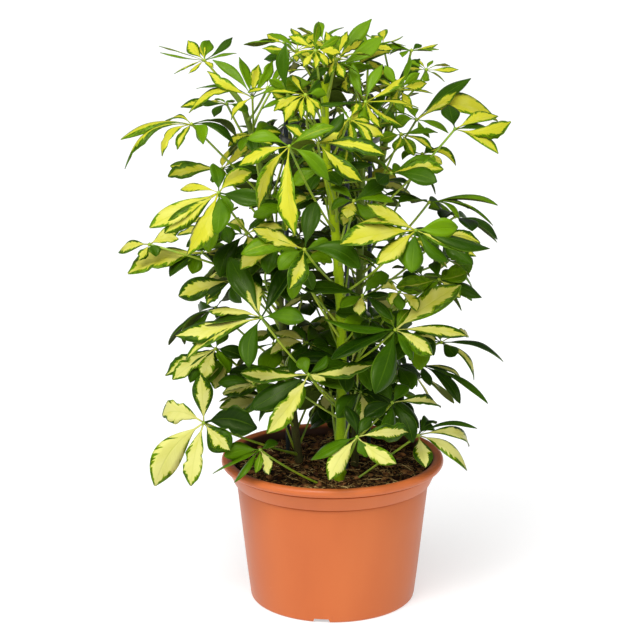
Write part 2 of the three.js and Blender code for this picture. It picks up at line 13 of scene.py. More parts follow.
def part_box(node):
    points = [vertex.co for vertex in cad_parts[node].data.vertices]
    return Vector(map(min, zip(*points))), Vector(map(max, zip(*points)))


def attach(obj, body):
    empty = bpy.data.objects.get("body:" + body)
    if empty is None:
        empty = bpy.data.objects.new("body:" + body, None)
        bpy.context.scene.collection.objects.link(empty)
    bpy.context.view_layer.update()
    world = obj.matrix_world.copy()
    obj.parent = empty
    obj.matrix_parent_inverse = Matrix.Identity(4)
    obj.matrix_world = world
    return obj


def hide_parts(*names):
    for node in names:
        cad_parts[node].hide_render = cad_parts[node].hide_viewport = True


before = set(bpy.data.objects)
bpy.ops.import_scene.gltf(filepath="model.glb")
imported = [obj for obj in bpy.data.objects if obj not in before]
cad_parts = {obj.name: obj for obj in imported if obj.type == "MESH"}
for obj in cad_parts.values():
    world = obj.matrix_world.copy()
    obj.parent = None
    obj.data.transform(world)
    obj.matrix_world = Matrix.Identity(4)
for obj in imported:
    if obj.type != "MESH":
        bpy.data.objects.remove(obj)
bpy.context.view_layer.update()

MM = 0.001

# -----------------------------------------------------------------------------------------------------------
# The pot
# -----------------------------------------------------------------------------------------------------------
# A round nursery container, moulded in one piece from thin terracotta-coloured polypropylene. It has a flat
# pad and a foot ring to stand on, a raised channel with drain holes between them, a tapering wall, a collar
# and a rolled rim.

POT_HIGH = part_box("pot")[1]
RIM_RADIUS = POT_HIGH.x / MM
POT_HEIGHT = POT_HIGH.z / MM
ROLL_DEPTH = 11
COLLAR_RADIUS = 124
COLLAR_DEPTH = 19
WALL_TOP_RADIUS = 117
BASE_RADIUS = 101
WALL = 2.3
PAD_RADIUS = 62
FOOT_INNER_RADIUS = 86
CHANNEL_HEIGHT = 5
DRAIN_HOLES = 8
DRAIN_RADIUS = 5
DRILL_LENGTH = 20
NOTCHES = 4
NOTCH_WIDTH = 24
NOTCH_DEPTH = 26  # of the block that cuts a notch, inwards and outwards
NOTCH_TAPER = 0.72  # the width of a block's top as a share of its foot's
NOTCH_TURN = -97.5  # azimuth of the front notch, in degrees
POT_STEPS = 144
POT_SHARP = 32  # edges of the pot that bend by more degrees than this are left sharp
# painted shade, nearly black, on the inside of the pot above the soil, where the foliage shades it: above a
# height, fully within one radius and not at all beyond another
SHADE_FOOT = 163.5
SHADE_INNER = 121
SHADE_OUTER = 126


def arc(radius, height, size, start, end, steps):
    """Points of a round corner in a section, as (radius, height), from one angle to another in degrees."""
    angles = [math.radians(start + (end - start) * i / steps) for i in range(steps + 1)]
    return [(radius + size * math.cos(a), height + size * math.sin(a)) for a in angles]


def pot_section():
    """The closed outline of the wall, from the middle of the base out and up to the rim, and back down
    inside."""
    top = POT_HEIGHT
    collar_top = top - ROLL_DEPTH
    collar_foot = collar_top - COLLAR_DEPTH
    roll = ROLL_DEPTH / 2
    inner_base = BASE_RADIUS - WALL
    return [
        (0, 0), *arc(PAD_RADIUS - 1, 1, 1, -90, 0, 3), (PAD_RADIUS + 1.4, CHANNEL_HEIGHT - 0.8),
        (PAD_RADIUS + 2.4, CHANNEL_HEIGHT), (FOOT_INNER_RADIUS - 2.4, CHANNEL_HEIGHT),
        (FOOT_INNER_RADIUS - 1.4, CHANNEL_HEIGHT - 0.8), *arc(FOOT_INNER_RADIUS + 1, 1, 1, 180, 270, 3),
        *arc(BASE_RADIUS - 4, 4, 4, -90, -6, 6),
        (BASE_RADIUS + 0.25 * (WALL_TOP_RADIUS - BASE_RADIUS), 0.25 * collar_foot),
        (BASE_RADIUS + 0.5 * (WALL_TOP_RADIUS - BASE_RADIUS), 0.5 * collar_foot),
        (BASE_RADIUS + 0.75 * (WALL_TOP_RADIUS - BASE_RADIUS), 0.75 * collar_foot),
        (WALL_TOP_RADIUS - 0.3, collar_foot - 3.2), (WALL_TOP_RADIUS - 0.6, collar_foot - 2.2),
        (WALL_TOP_RADIUS - 1.1, collar_foot - 1.8), (WALL_TOP_RADIUS - 1.1, collar_foot - 0.8),
        (COLLAR_RADIUS - 4.4, collar_foot - 0.4), (COLLAR_RADIUS - 3.9, collar_foot + 0.2),
        (COLLAR_RADIUS + 0.2, collar_foot + 0.5 * COLLAR_DEPTH),
        (COLLAR_RADIUS + 3.4, collar_top - 3.4), (COLLAR_RADIUS + 3.8, collar_top - 2),
        (COLLAR_RADIUS + 2.2, collar_top - 1.2), (COLLAR_RADIUS + 2.4, collar_top),
        *arc(RIM_RADIUS - roll, top - roll, roll, -78, 104, 16),
        (RIM_RADIUS - 12, top - 2.4), (RIM_RADIUS - 13.2, top - 5), (COLLAR_RADIUS - WALL - 0.3, collar_top),
        (COLLAR_RADIUS - 4 - WALL, collar_foot + 1.2), (WALL_TOP_RADIUS - WALL, collar_foot - 1.4),
        (inner_base + 0.6, 7), (inner_base - 1.6, WALL), (FOOT_INNER_RADIUS + 1.6, WALL),
        (FOOT_INNER_RADIUS - 0.6, CHANNEL_HEIGHT + WALL), (PAD_RADIUS + 0.6, CHANNEL_HEIGHT + WALL),
        (PAD_RADIUS - 1.4, WALL), (0, WALL),
    ]


def spun(section, steps):
    """A bmesh of a section, given in mm as (radius, height), spun round the Z axis and closed."""
    bm = bmesh.new()
    corners = [bm.verts.new((radius * MM, 0, height * MM)) for radius, height in section]
    edges = [bm.edges.new(pair) for pair in zip(corners, corners[1:])]
    if section[0][0] > 0:
        edges.append(bm.edges.new((corners[-1], corners[0])))
    bmesh.ops.spin(bm, geom=corners + edges, cent=(0, 0, 0), axis=(0, 0, 1), angle=2 * math.pi, steps=steps,
                   use_merge=True, use_duplicate=False)
    bmesh.ops.remove_doubles(bm, verts=bm.verts, dist=1e-5)
    bmesh.ops.recalc_face_normals(bm, faces=bm.faces)
    return bm


def mark_sharp(mesh, angle):
    """Makes a mesh smooth but for edges sharper than an angle in degrees."""
    bm = bmesh.new()
    bm.from_mesh(mesh)
    for face in bm.faces:
        face.smooth = True
    for edge in bm.edges:
        edge.smooth = len(edge.link_faces) != 2 or edge.calc_face_angle(0) < math.radians(angle)
    bm.to_mesh(mesh)
    bm.free()


def finished(bm, name, materials, sharp_angle=40):
    """The object of a bmesh, smooth but for edges sharper than sharp_angle degrees."""
    mesh = bpy.data.meshes.new(name)
    bm.to_mesh(mesh)
    bm.free()
    mark_sharp(mesh, sharp_angle)
    for material in materials:
        mesh.materials.append(material)
    made = bpy.data.objects.new(name, mesh)
    bpy.context.scene.collection.objects.link(made)
    return made


def node(tree, kind, links=None, **settings):
    """Adds a shader node. links gives each input, by name or number, a value or the output that it takes."""
    made = tree.nodes.new(kind if kind.startswith("NodeGroup") else "ShaderNode" + kind)
    for key, value in settings.items():
        setattr(made, key, value)
    for key, value in (links or {}).items():
        if isinstance(value, bpy.types.NodeSocket):
            tree.links.new(value, made.inputs[key])
        else:
            made.inputs[key].default_value = value
    return made


def new_material(name, **principled):
    """A material with its Principled shader, whose constant sockets are given by name with _ for a space."""
    material = bpy.data.materials.new(name)
    material.use_nodes = True
    tree = material.node_tree
    shader = tree.nodes["Principled BSDF"]
    for key, value in principled.items():
        shader.inputs[key.replace("_", " ")].default_value = value
    return material, tree, shader


def link_surface(tree, shader, colour, bump, rough=None):
    """Links a Principled shader's colour, its bump, as a height, a strength and a depth in metres, and its
    roughness, as a value and the range that it is spread over."""
    tree.links.new(colour, shader.inputs["Base Color"])
    if rough:
        value, low, high = rough
        spread = node(tree, "MapRange", {"Value": value, "To Min": low, "To Max": high})
        tree.links.new(spread.outputs[0], shader.inputs["Roughness"])
    height, strength, depth = bump
    relief = node(tree, "Bump", {"Height": height, "Strength": strength, "Distance": depth})
    tree.links.new(relief.outputs[0], shader.inputs["Normal"])


def ramp(tree, factor, *stops):
    """A colour ramp's output. Each stop is a place and a linear colour."""
    made = node(tree, "ValToRGB", {"Fac": factor})
    made.color_ramp.elements[0].position = stops[0][0]
    made.color_ramp.elements[0].color = (*stops[0][1], 1)
    made.color_ramp.elements[1].position = stops[-1][0]
    made.color_ramp.elements[1].color = (*stops[-1][1], 1)
    for place, colour in stops[1:-1]:
        made.color_ramp.elements.new(place).color = (*colour, 1)
    return made.outputs["Color"]


def mottle_group():
    """Soft mottling and fine grain on the object's own coordinates, which several materials share."""
    tree = bpy.data.node_groups.new("mottle", "ShaderNodeTree")
    for name, value in (("Scale", 30.0), ("Stretch", 1.0), ("Grain Scale", 400.0)):
        tree.interface.new_socket(name, in_out="INPUT", socket_type="NodeSocketFloat").default_value = value
    for name in ("Mottle", "Grain"):
        tree.interface.new_socket(name, in_out="OUTPUT", socket_type="NodeSocketFloat")
    given = node(tree, "NodeGroupInput").outputs
    place = node(tree, "TexCoord").outputs["Object"]
    scale = node(tree, "CombineXYZ", {"X": 1.0, "Y": 1.0, "Z": given["Stretch"]}).outputs[0]
    stretched = node(tree, "VectorMath", {0: place, 1: scale}, operation="MULTIPLY").outputs[0]
    mottle = node(tree, "TexNoise", {"Vector": stretched, "Scale": given["Scale"], "Detail": 4.0})
    grain = node(tree, "TexNoise", {"Vector": place, "Scale": given["Grain Scale"], "Detail": 2.0})
    node(tree, "NodeGroupOutput", {"Mottle": mottle.outputs["Fac"], "Grain": grain.outputs["Fac"]})
    return tree


MOTTLE = mottle_group()


def mottled(tree, scale, stretch, grain_scale):
    """Places the mottle group, and returns its outputs."""
    made = node(tree, "Group", node_tree=MOTTLE)
    for key, value in (("Scale", scale), ("Stretch", stretch), ("Grain Scale", grain_scale)):
        made.inputs[key].default_value = value
    return made.outputs


def pot_material():
    """Satin polypropylene: an even terracotta, a little chalky and scuffed, with the faint grain of the
    mould, and painted shade that darkens its inside above the soil."""
    material, tree, shader = new_material("terracotta_plastic", Coat_Weight=0.16, Coat_Roughness=0.14,
                                           Specular_IOR_Level=0.2)
    soft = mottled(tree, 9.0, 0.35, 900.0)
    colour = ramp(tree, soft["Mottle"], (0.3, (0.445, 0.102, 0.024)), (0.5, (0.49, 0.118, 0.028)),
                  (0.72, (0.525, 0.134, 0.033)))
    place = node(tree, "TexCoord").outputs["Object"]
    scuffs = node(tree, "TexNoise", {"Vector": place, "Scale": 45.0, "Detail": 8.0, "Roughness": 0.7})
    scuffed = ramp(tree, scuffs.outputs["Fac"], (0.66, (0, 0, 0)), (0.84, (0.7, 0.7, 0.7)))
    dusty = node(tree, "MixRGB", {"Fac": scuffed, "Color1": colour, "Color2": (0.66, 0.22, 0.09, 1)})
    axes = node(tree, "SeparateXYZ", {"Vector": place}).outputs
    level = node(tree, "CombineXYZ", {"X": axes["X"], "Y": axes["Y"]}).outputs[0]
    reach = node(tree, "VectorMath", {0: level}, operation="LENGTH").outputs["Value"]
    # painted shade: the inside of the pot above the soil is darkened to nearly black, for the shade under the
    # foliage
    within = node(tree, "MapRange", {"Value": reach, "From Min": SHADE_OUTER * MM,
                                     "From Max": SHADE_INNER * MM},
                  interpolation_type="SMOOTHSTEP").outputs[0]
    above = node(tree, "MapRange", {"Value": axes["Z"], "From Min": SHADE_FOOT * MM,
                                    "From Max": (SHADE_FOOT + 1) * MM}).outputs[0]
    inner_shade = node(tree, "Math", {0: within, 1: above}, operation="MULTIPLY").outputs[0]
    shaded_inside = node(tree, "MixRGB", {"Fac": inner_shade, "Color1": dusty.outputs[0],
                                    "Color2": (0.045, 0.02, 0.012, 1)})
    link_surface(tree, shader, shaded_inside.outputs[0], (soft["Grain"], 0.12, 0.0004), (soft["Mottle"], 0.36, 0.5))
    return material


def cut_away(body, cutters):
    """Takes the cutters' shapes out of an object's mesh."""
    tool = finished(cutters, "cutters", [])
    modifier = body.modifiers.new("cut", "BOOLEAN")
    modifier.object = tool
    modifier.solver = "EXACT"
    graph = bpy.context.evaluated_depsgraph_get()
    cut = bpy.data.meshes.new_from_object(body.evaluated_get(graph))
    body.modifiers.clear()
    bpy.data.objects.remove(tool)
    mark_sharp(cut, POT_SHARP)
    return cut


def pot_cutters():
    """Drills for the drain holes and blocks for the notches in the foot ring, in one bmesh."""
    bm = bmesh.new()
    for i in range(DRAIN_HOLES):
        turn = Matrix.Rotation(2 * math.pi * (i + 0.5) / DRAIN_HOLES, 4, "Z")
        reach = Matrix.Translation(((PAD_RADIUS + FOOT_INNER_RADIUS) / 2 * MM, 0, (CHANNEL_HEIGHT + 1) * MM))
        bmesh.ops.create_cone(bm, cap_ends=True, segments=24, radius1=DRAIN_RADIUS * MM,
                              radius2=DRAIN_RADIUS * MM, depth=DRILL_LENGTH * MM, matrix=turn @ reach)
    for i in range(NOTCHES):
        turn = Matrix.Rotation(math.radians(NOTCH_TURN) + 2 * math.pi * i / NOTCHES, 4, "Z")
        reach = Matrix.Translation(((BASE_RADIUS - 4) * MM, 0, 0))
        size = Matrix.Diagonal((NOTCH_DEPTH * MM, NOTCH_WIDTH * MM, CHANNEL_HEIGHT * MM, 1))
        block = bmesh.ops.create_cube(bm, size=2)["verts"]
        bmesh.ops.scale(bm, verts=[vert for vert in block if vert.co.z > 0], vec=(1, NOTCH_TAPER, 1))
        bmesh.ops.transform(bm, verts=block, matrix=turn @ reach @ size @ Matrix.Diagonal((0.5, 0.5, 1, 1)))
    return bm


pot = finished(spun(pot_section(), POT_STEPS), "terracotta_pot", [pot_material()], POT_SHARP)
pot.data = cut_away(pot, pot_cutters())
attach(pot, "root")
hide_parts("pot")

# -----------------------------------------------------------------------------------------------------------
# The soil
# -----------------------------------------------------------------------------------------------------------
# Dark peat pressed into the pot to a finger's width below the rim, with chips of bark and coarse tan fibres
# of coconut husk lying in it and standing out of it.

SOIL_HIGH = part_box("soil")[1]
SOIL_RADIUS = SOIL_HIGH.x / MM
SOIL_CROWN = 4  # how much higher the soil is in the middle than at the wall
SOIL_TOP = SOIL_HIGH.z / MM - SOIL_CROWN
SOIL_HEAP = 4  # how much higher it is heaped at the back
LUMPS = 2.6  # how high lumps and crumbs stand
CRUMBS = 1.6
SOIL_STEPS = 110
SOIL_RINGS = 34
BARK_CHIPS = 300
HUSK_FIBRES = 560


def variation(key):
    """A number from 0 to 1 that looks random and is the same every time for the same key."""
    wave = math.sin(key * 12.9898) * 43758.5453
    return wave - math.floor(wave)


def soil_height(x, y):
    """The height of the soil in mm at a point in mm: low at the wall, crowned in the middle, and lumpy."""
    share = min(1.0, math.hypot(x, y) / SOIL_RADIUS)
    lumps = noise.fractal(Vector((x, y, 0)) * 0.05, 0.7, 2.0, 4)
    crumbs = noise.fractal(Vector((x, y, 7)) * 0.19, 0.8, 2.0, 3)
    heaped = SOIL_HEAP * max(0.0, y / SOIL_RADIUS)
    return SOIL_TOP - 2 + SOIL_CROWN * (1 - share**2) + heaped + LUMPS * lumps + CRUMBS * crumbs


def soil_bed():
    """The whole plug of peat, with a crumbly top."""
    floor = CHANNEL_HEIGHT + WALL + 0.8
    foot = BASE_RADIUS - WALL - 1.2
    shoulder = POT_HEIGHT - ROLL_DEPTH - COLLAR_DEPTH - 2
    across = [(SOIL_RADIUS * (1 - i / SOIL_RINGS), SOIL_TOP) for i in range(SOIL_RINGS + 1)]
    section = [(0, floor), (foot, floor), (WALL_TOP_RADIUS - WALL - 1, shoulder),
               (SOIL_RADIUS - 1.2, SOIL_TOP - 8)]
    bm = spun(section + across, SOIL_STEPS)
    for vert in bm.verts:
        if vert.co.z > (SOIL_TOP - 0.1) * MM:
            vert.co.z = soil_height(vert.co.x / MM, vert.co.y / MM) * MM
    return bm


def bark_chips():
    """Broken chips, each a faceted ball flattened and knocked out of shape, half sunk in the peat."""
    bm = bmesh.new()
    for i in range(BARK_CHIPS):
        chip = bmesh.ops.create_icosphere(bm, subdivisions=1, radius=0.5)["verts"]
        far = math.sqrt(variation(i + 0.1)) * (SOIL_RADIUS - 9)
        turn = 2 * math.pi * variation(i + 0.2)
        x, y = far * math.cos(turn), far * math.sin(turn)
        size = 2.6 + 7 * variation(i + 0.3) ** 2
        for vert in chip:
            vert.co *= 1 + 0.7 * noise.noise(vert.co * 2.3 + Vector((i, 0, 0)))
        shape = Vector((1, 0.55 + 0.3 * variation(i + 0.4), 0.34))
        bmesh.ops.scale(bm, verts=chip, vec=shape * size * MM * 1.5)
        lean = Matrix.Rotation(1.1 * (variation(i + 0.5) - 0.5), 3, "X")
        spin = Matrix.Rotation(2 * math.pi * variation(i + 0.6), 3, "Z")
        bmesh.ops.rotate(bm, verts=chip, matrix=spin @ lean)
        bmesh.ops.translate(bm, verts=chip, vec=(x * MM, y * MM, (soil_height(x, y) + 0.08 * size) * MM))
    return bm


def joined(meshes):
    """One bmesh of several, through temporary meshes, which keep maps and attributes."""
    whole = bmesh.new()
    for bm in meshes:
        mesh = bpy.data.meshes.new("part")
        bm.to_mesh(mesh)
        bm.free()
        whole.from_mesh(mesh)
        bpy.data.meshes.remove(mesh)
    return whole


def rod(sides, rings, start=1, end=1):
    """A bmesh of a closed rod along Z from -0.5 to 0.5, in rings, with its radius at its start and end."""
    bm = bmesh.new()
    bmesh.ops.create_cone(bm, cap_ends=True, segments=sides, radius1=start, radius2=end, depth=1)
    flanks = [edge for edge in bm.edges if abs(edge.verts[0].co.z - edge.verts[1].co.z) > 0.5]
    bmesh.ops.subdivide_edges(bm, edges=flanks, cuts=rings - 1)
    return bm


def husk_fibre(i):
    """One curved strand, a thin three-sided rod that tapers to a point."""
    far = math.sqrt(variation(i + 0.15)) * (SOIL_RADIUS - 14)
    turn = 2 * math.pi * variation(i + 0.25)
    x, y = far * math.cos(turn), far * math.sin(turn)
    length = 7 + 22 * variation(i + 0.35) ** 2
    heading = 2 * math.pi * variation(i + 0.45)
    rise = (variation(i + 0.55) - 0.3) * 0.8
    bend = (variation(i + 0.65) - 0.5) * 1.6
    bm = rod(3, 5, 0.2 + 0.32 * variation(i + 0.75) ** 2, 0.1)
    for vert in bm.verts:
        t = vert.co.z + 0.5
        angle = heading + bend * t
        px = x + length * t * math.cos(angle) - vert.co.x * math.sin(angle)
        py = y + length * t * math.sin(angle) + vert.co.x * math.cos(angle)
        lift = vert.co.y + length * t * math.sin(rise) * (1 - 0.4 * t)
        vert.co = Vector((px, py, soil_height(px, py) + max(lift + 0.2, -0.4))) * MM
    return bm


def soil_material():
    """Moist peat: nearly black, with reddish and tan crumbs."""
    material, tree, shader = new_material("peat", Specular_IOR_Level=0.08)
    place = node(tree, "TexCoord").outputs["Object"]
    crumbs = node(tree, "TexVoronoi", {"Vector": place, "Scale": 380.0, "Randomness": 1.0})
    tone = node(tree, "SeparateColor", {"Color": crumbs.outputs["Color"]}).outputs["Red"]
    colour = ramp(tree, tone, (0.0, (0.005, 0.002, 0.0007)), (0.45, (0.026, 0.009, 0.0028)),
                  (0.75, (0.10, 0.038, 0.009)), (0.95, (0.30, 0.16, 0.045)))
    wet = mottled(tree, 60.0, 1.0, 1500.0)
    shade = node(tree, "MixRGB", {"Fac": 0.6, "Color1": colour, "Color2": wet["Mottle"]},
                 blend_type="MULTIPLY")
    height = node(tree, "Math", {0: wet["Grain"], 1: crumbs.outputs["Distance"]}, operation="ADD").outputs[0]
    link_surface(tree, shader, shade.outputs[0], (height, 1.0, 0.0025), (wet["Mottle"], 0.6, 0.98))
    return material


def litter_material(name, dark, middle, light, scale):
    """Dry plant litter, whose colour changes from bit to bit."""
    material, tree, shader = new_material(name, Specular_IOR_Level=0.15)
    bits = mottled(tree, scale, 1.0, 1200.0)
    colour = ramp(tree, bits["Mottle"], (0.3, dark), (0.46, middle), (0.6, light))
    link_surface(tree, shader, colour, (bits["Grain"], 0.6, 0.0006), (bits["Grain"], 0.5, 0.95))
    return material


bark_look = litter_material("bark", (0.010, 0.004, 0.0015), (0.085, 0.030, 0.009), (0.27, 0.12, 0.036), 120.0)
husk_look = litter_material("husk_fibre", (0.07, 0.035, 0.008), (0.36, 0.22, 0.065), (0.74, 0.55, 0.22), 60.0)
husk = joined(husk_fibre(i) for i in range(HUSK_FIBRES))
bed = finished(soil_bed(), "peat_bed", [soil_material()], 60)
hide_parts("soil")
chips = finished(bark_chips(), "bark_chips", [bark_look])
fibres = finished(husk, "husk_fibres", [husk_look])
for piece in (bed, chips, fibres):
    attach(piece, "root")

# -----------------------------------------------------------------------------------------------------------
# The stems
# -----------------------------------------------------------------------------------------------------------
# Four cuttings rooted in the soil. The front one is young and green, ridged, and swollen where each leaf
# grows out. The others are older and thinner, with olive to brown bark.

# Each stem: its radius at the foot and at the tip, and the points that it grows through, all in mm.
STEMS = {
    "front": (6.6, 4.4, [(8, -58, 95), (8, -58, 165), (11, -55, 300), (8, -52, 400), (1, -50, 490),
                         (-7, -49, 560), (-9, -48, 636)]),
    "right": (5.4, 3.6, [(26, -4, 95), (27, -4, 165), (31, 0, 330), (34, 2, 500), (38, -4, 588)]),
    "left": (5.4, 3.2, [(-38, 8, 95), (-41, 8, 165), (-60, 6, 340), (-77, 4, 490), (-100, 0, 590),
                        (-118, 0, 622)]),
    "back": (5.4, 3.4, [(20, 68, 95), (21, 70, 165), (32, 84, 350), (56, 84, 500), (76, 66, 622)]),
}
STEM_SIDES = 14
STEM_RINGS = 110
# How young and old bark is marked: the step from leaf scar to leaf scar in mm, how far a scar swells, and
# how deep, how many and how slowly twisted the ridges are.
BARK_MARKS = {"young": (24, 0.26, 0.035, 5, 26), "old": (15, 0.1, 0.02, 7, 18)}


class Path:
    """A smooth curve through points, as a chain of cubic pieces. t runs from 0 at its start to 1 at its
    end."""

    def __init__(self, points):
        self.points = [Vector(point) for point in points]

    def at(self, t):
        spans = len(self.points) - 1
        place = min(max(t, 0.0), 1.0) * spans
        i = min(int(place), spans - 1)
        w = place - i
        a = self.points[i]
        b = self.points[i + 1]
        before = self.points[i - 1] if i > 0 else a * 2 - b
        after = self.points[i + 2] if i + 2 <= spans else b * 2 - a
        leave = (b - before) / 2
        arrive = (after - a) / 2
        return (a * (2 * w**3 - 3 * w**2 + 1) + leave * (w**3 - 2 * w**2 + w) + b * (3 * w**2 - 2 * w**3)
                + arrive * (w**3 - w**2))

    def along(self, t):
        return (self.at(t + 0.004) - self.at(t - 0.004)).normalized()


class Bow:
    """A single bend: a curve from start to end that is drawn towards its middle point."""

    def __init__(self, start, middle, end):
        self.ends = (start, middle, end)

    def at(self, t):
        start, middle, end = self.ends
        return start * (1 - t) ** 2 + middle * (2 * t * (1 - t)) + end * t**2

    def along(self, t):
        start, middle, end = self.ends
        return ((middle - start) * (1 - t) + (end - middle) * t).normalized()


def laid_rod(curve, side, radius, sides, rings):
    """A bmesh of a rod laid along a curve in mm. radius gives its radius in mm at t and a turn round the
    rod."""
    bm = rod(sides, rings)
    for vert in bm.verts:
        t = vert.co.z + 0.5
        turn = math.atan2(vert.co.y, vert.co.x)
        ahead = curve.along(t)
        flat = (side - ahead * side.dot(ahead)).normalized()
        top = flat.cross(ahead)
        size = radius(t, turn)
        vert.co = (curve.at(t) + flat * (math.cos(turn) * size) + top * (math.sin(turn) * size)) * MM
    return bm


def stem_radius(name, foot, tip, curve):
    """The radius of a stem: tapering, ridged lengthwise, and swollen at its leaf scars."""
    step, scar_swell, depth, count, twist = BARK_MARKS["young" if name == "front" else "old"]

    def radius(t, turn):
        height = curve.at(t).z
        scar = 2 * abs((height / step + 0.3 * math.sin(height / 37)) % 1 - 0.5)
        swell = scar_swell * scar**6 * (1 + 0.8 * math.cos(turn - height * 0.11))
        ridges = depth * math.sin(count * turn + height / twist)
        return (foot + (tip - foot) * t) * (1 + swell + ridges)

    return radius


def stem_material(name, low, middle, high):
    """Bark that is greener higher up, streaked lengthwise, with paler cork specks."""
    material, tree, shader = new_material(name, Specular_IOR_Level=0.2, Specular_Tint=(0.9, 1, 0.4, 1))
    place = node(tree, "TexCoord").outputs["Object"]
    height = node(tree, "SeparateXYZ", {"Vector": place}).outputs["Z"]
    rise = node(tree, "MapRange", {"Value": height, "From Min": 0.16, "From Max": 0.62}).outputs[0]
    streaks = mottled(tree, 130.0, 0.16, 1100.0)
    wander = node(tree, "Math", {0: streaks["Mottle"], 1: 0.75, 2: rise}, operation="MULTIPLY_ADD").outputs[0]
    colour = ramp(tree, wander, (0.3, low), (0.75, middle), (1.0, high))
    speck = ramp(tree, streaks["Grain"], (0.62, (0, 0, 0)), (0.72, (1, 1, 1)))
    cork = [c * 1.4 + 0.01 for c in middle]
    corky = node(tree, "MixRGB", {"Fac": speck, "Color1": colour, "Color2": (*cork, 1)})
    link_surface(tree, shader, corky.outputs[0], (streaks["Mottle"], 0.5, 0.001),
                 (streaks["Mottle"], 0.38, 0.7))
    return material


young_bark = stem_material("young_bark", (0.16, 0.28, 0.002), (0.25, 0.40, 0.003), (0.36, 0.50, 0.006))
old_bark = stem_material("old_bark", (0.055, 0.042, 0.018), (0.085, 0.105, 0.022), (0.15, 0.23, 0.03))
stems = {}
obstacles = []


def as_obstacle(bm, thickness=0):
    """What later leaves keep clear of: a search tree of a mesh's faces, and its box. A blade that is
    thickened later gives its thickness, and its underside is searched too."""
    corners = [vert.co.copy() for vert in bm.verts]
    if thickness:
        bm.normal_update()
        bm.verts.index_update()
        faces = [[vert.index for vert in face.verts] for face in bm.faces]
        faces += [[corner + len(corners) for corner in face] for face in faces]
        corners += [vert.co - vert.normal * thickness for vert in bm.verts]
        tree = BVHTree.FromPolygons(corners, faces)
    else:
        tree = BVHTree.FromBMesh(bm)
    low = Vector(map(min, *corners))
    high = Vector(map(max, *corners))
    return tree, low, high


for name, (foot, tip, points) in STEMS.items():
    stems[name] = Path(points)
    radius = stem_radius(name, foot, tip, stems[name])
    bm = laid_rod(stems[name], Vector((1, 0, 0)), radius, STEM_SIDES, STEM_RINGS)
    obstacles.append((*as_obstacle(bm), name))
    stem = finished(bm, f"{name}_cutting", [young_bark if name == "front" else old_bark], 60)
    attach(stem, "root")
    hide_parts(f"{name}_stem")

# -----------------------------------------------------------------------------------------------------------
# The canes and the hoop
# -----------------------------------------------------------------------------------------------------------
# Three steel canes in a dark plastic sleeve, pushed deep into the soil round the stems, and one flat
# plastic hoop that rests round them near the top and keeps the bush together.

CANE_SIDES = 20
HOOP_HEIGHT = 7
HOOP_THICKNESS = 2.5
HOOP_CORNER = 0.6  # the radius of its rounded edges
HOOP_TILT = 7  # degrees, lower at the front
HOOP_STEPS = 96


def sleeve_material(name, dark, light):
    """Extruded plastic, slightly streaked along its length and dulled by handling."""
    material, tree, shader = new_material(name, Coat_Weight=0.2, Coat_Roughness=0.25)
    streaks = mottled(tree, 140.0, 0.1, 800.0)
    colour = ramp(tree, streaks["Mottle"], (0.32, dark), (0.7, light))
    link_surface(tree, shader, colour, (streaks["Grain"], 0.2, 0.0004), (streaks["Mottle"], 0.28, 0.55))
    return material


cane_look = sleeve_material("cane_sleeve", (0.012, 0.020, 0.024), (0.035, 0.056, 0.066))
hoop_look = sleeve_material("hoop_plastic", (0.014, 0.017, 0.012), (0.05, 0.055, 0.036))

for name in ("front_cane", "right_cane", "left_cane"):
    low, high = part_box(name)
    radius = (high.x - low.x) / 2
    bm = bmesh.new()
    middle = Matrix.Translation((low + high) / 2)
    bmesh.ops.create_cone(bm, cap_ends=True, segments=CANE_SIDES, radius1=radius, radius2=radius,
                          depth=high.z - low.z, matrix=middle)
    rims = [edge for edge in bm.edges if abs(edge.verts[0].co.z - edge.verts[1].co.z) < radius]
    bmesh.ops.bevel(bm, geom=rims, offset=radius * 0.6, segments=4, profile=0.5, affect="EDGES", material=-1)
    obstacles.append((*as_obstacle(bm), name))
    cane = finished(bm, f"{name}_sleeved", [cane_look])
    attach(cane, "root")
    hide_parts(name)

low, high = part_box("hoop")
hoop_outer = (high.x - low.x) / 2 / MM
far = hoop_outer - HOOP_CORNER
near = hoop_outer - HOOP_THICKNESS + HOOP_CORNER
upper = HOOP_HEIGHT / 2 - HOOP_CORNER
hoop_section = [*arc(far, upper, HOOP_CORNER, 0, 90, 3), *arc(near, upper, HOOP_CORNER, 90, 180, 3),
                *arc(near, -upper, HOOP_CORNER, 180, 270, 3), *arc(far, -upper, HOOP_CORNER, 270, 360, 3)]
bm = spun(hoop_section, HOOP_STEPS)
bmesh.ops.rotate(bm, verts=bm.verts, matrix=Matrix.Rotation(math.radians(HOOP_TILT), 3, "X"))
bmesh.ops.translate(bm, verts=bm.verts, vec=(low + high) / 2)
obstacles.append((*as_obstacle(bm), "hoop"))
hoop = finished(bm, "plastic_hoop", [hoop_look], 50)
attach(hoop, "root")
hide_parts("hoop")

# -----------------------------------------------------------------------------------------------------------
# The leaves
# -----------------------------------------------------------------------------------------------------------
# A leaf has a long green stalk, a small hub at its end, and glossy leaflets, mostly five to ten, that
# spread from the hub like the ribs of an umbrella and droop at their tips. Many leaflets are marked with
# yellow along the middle.

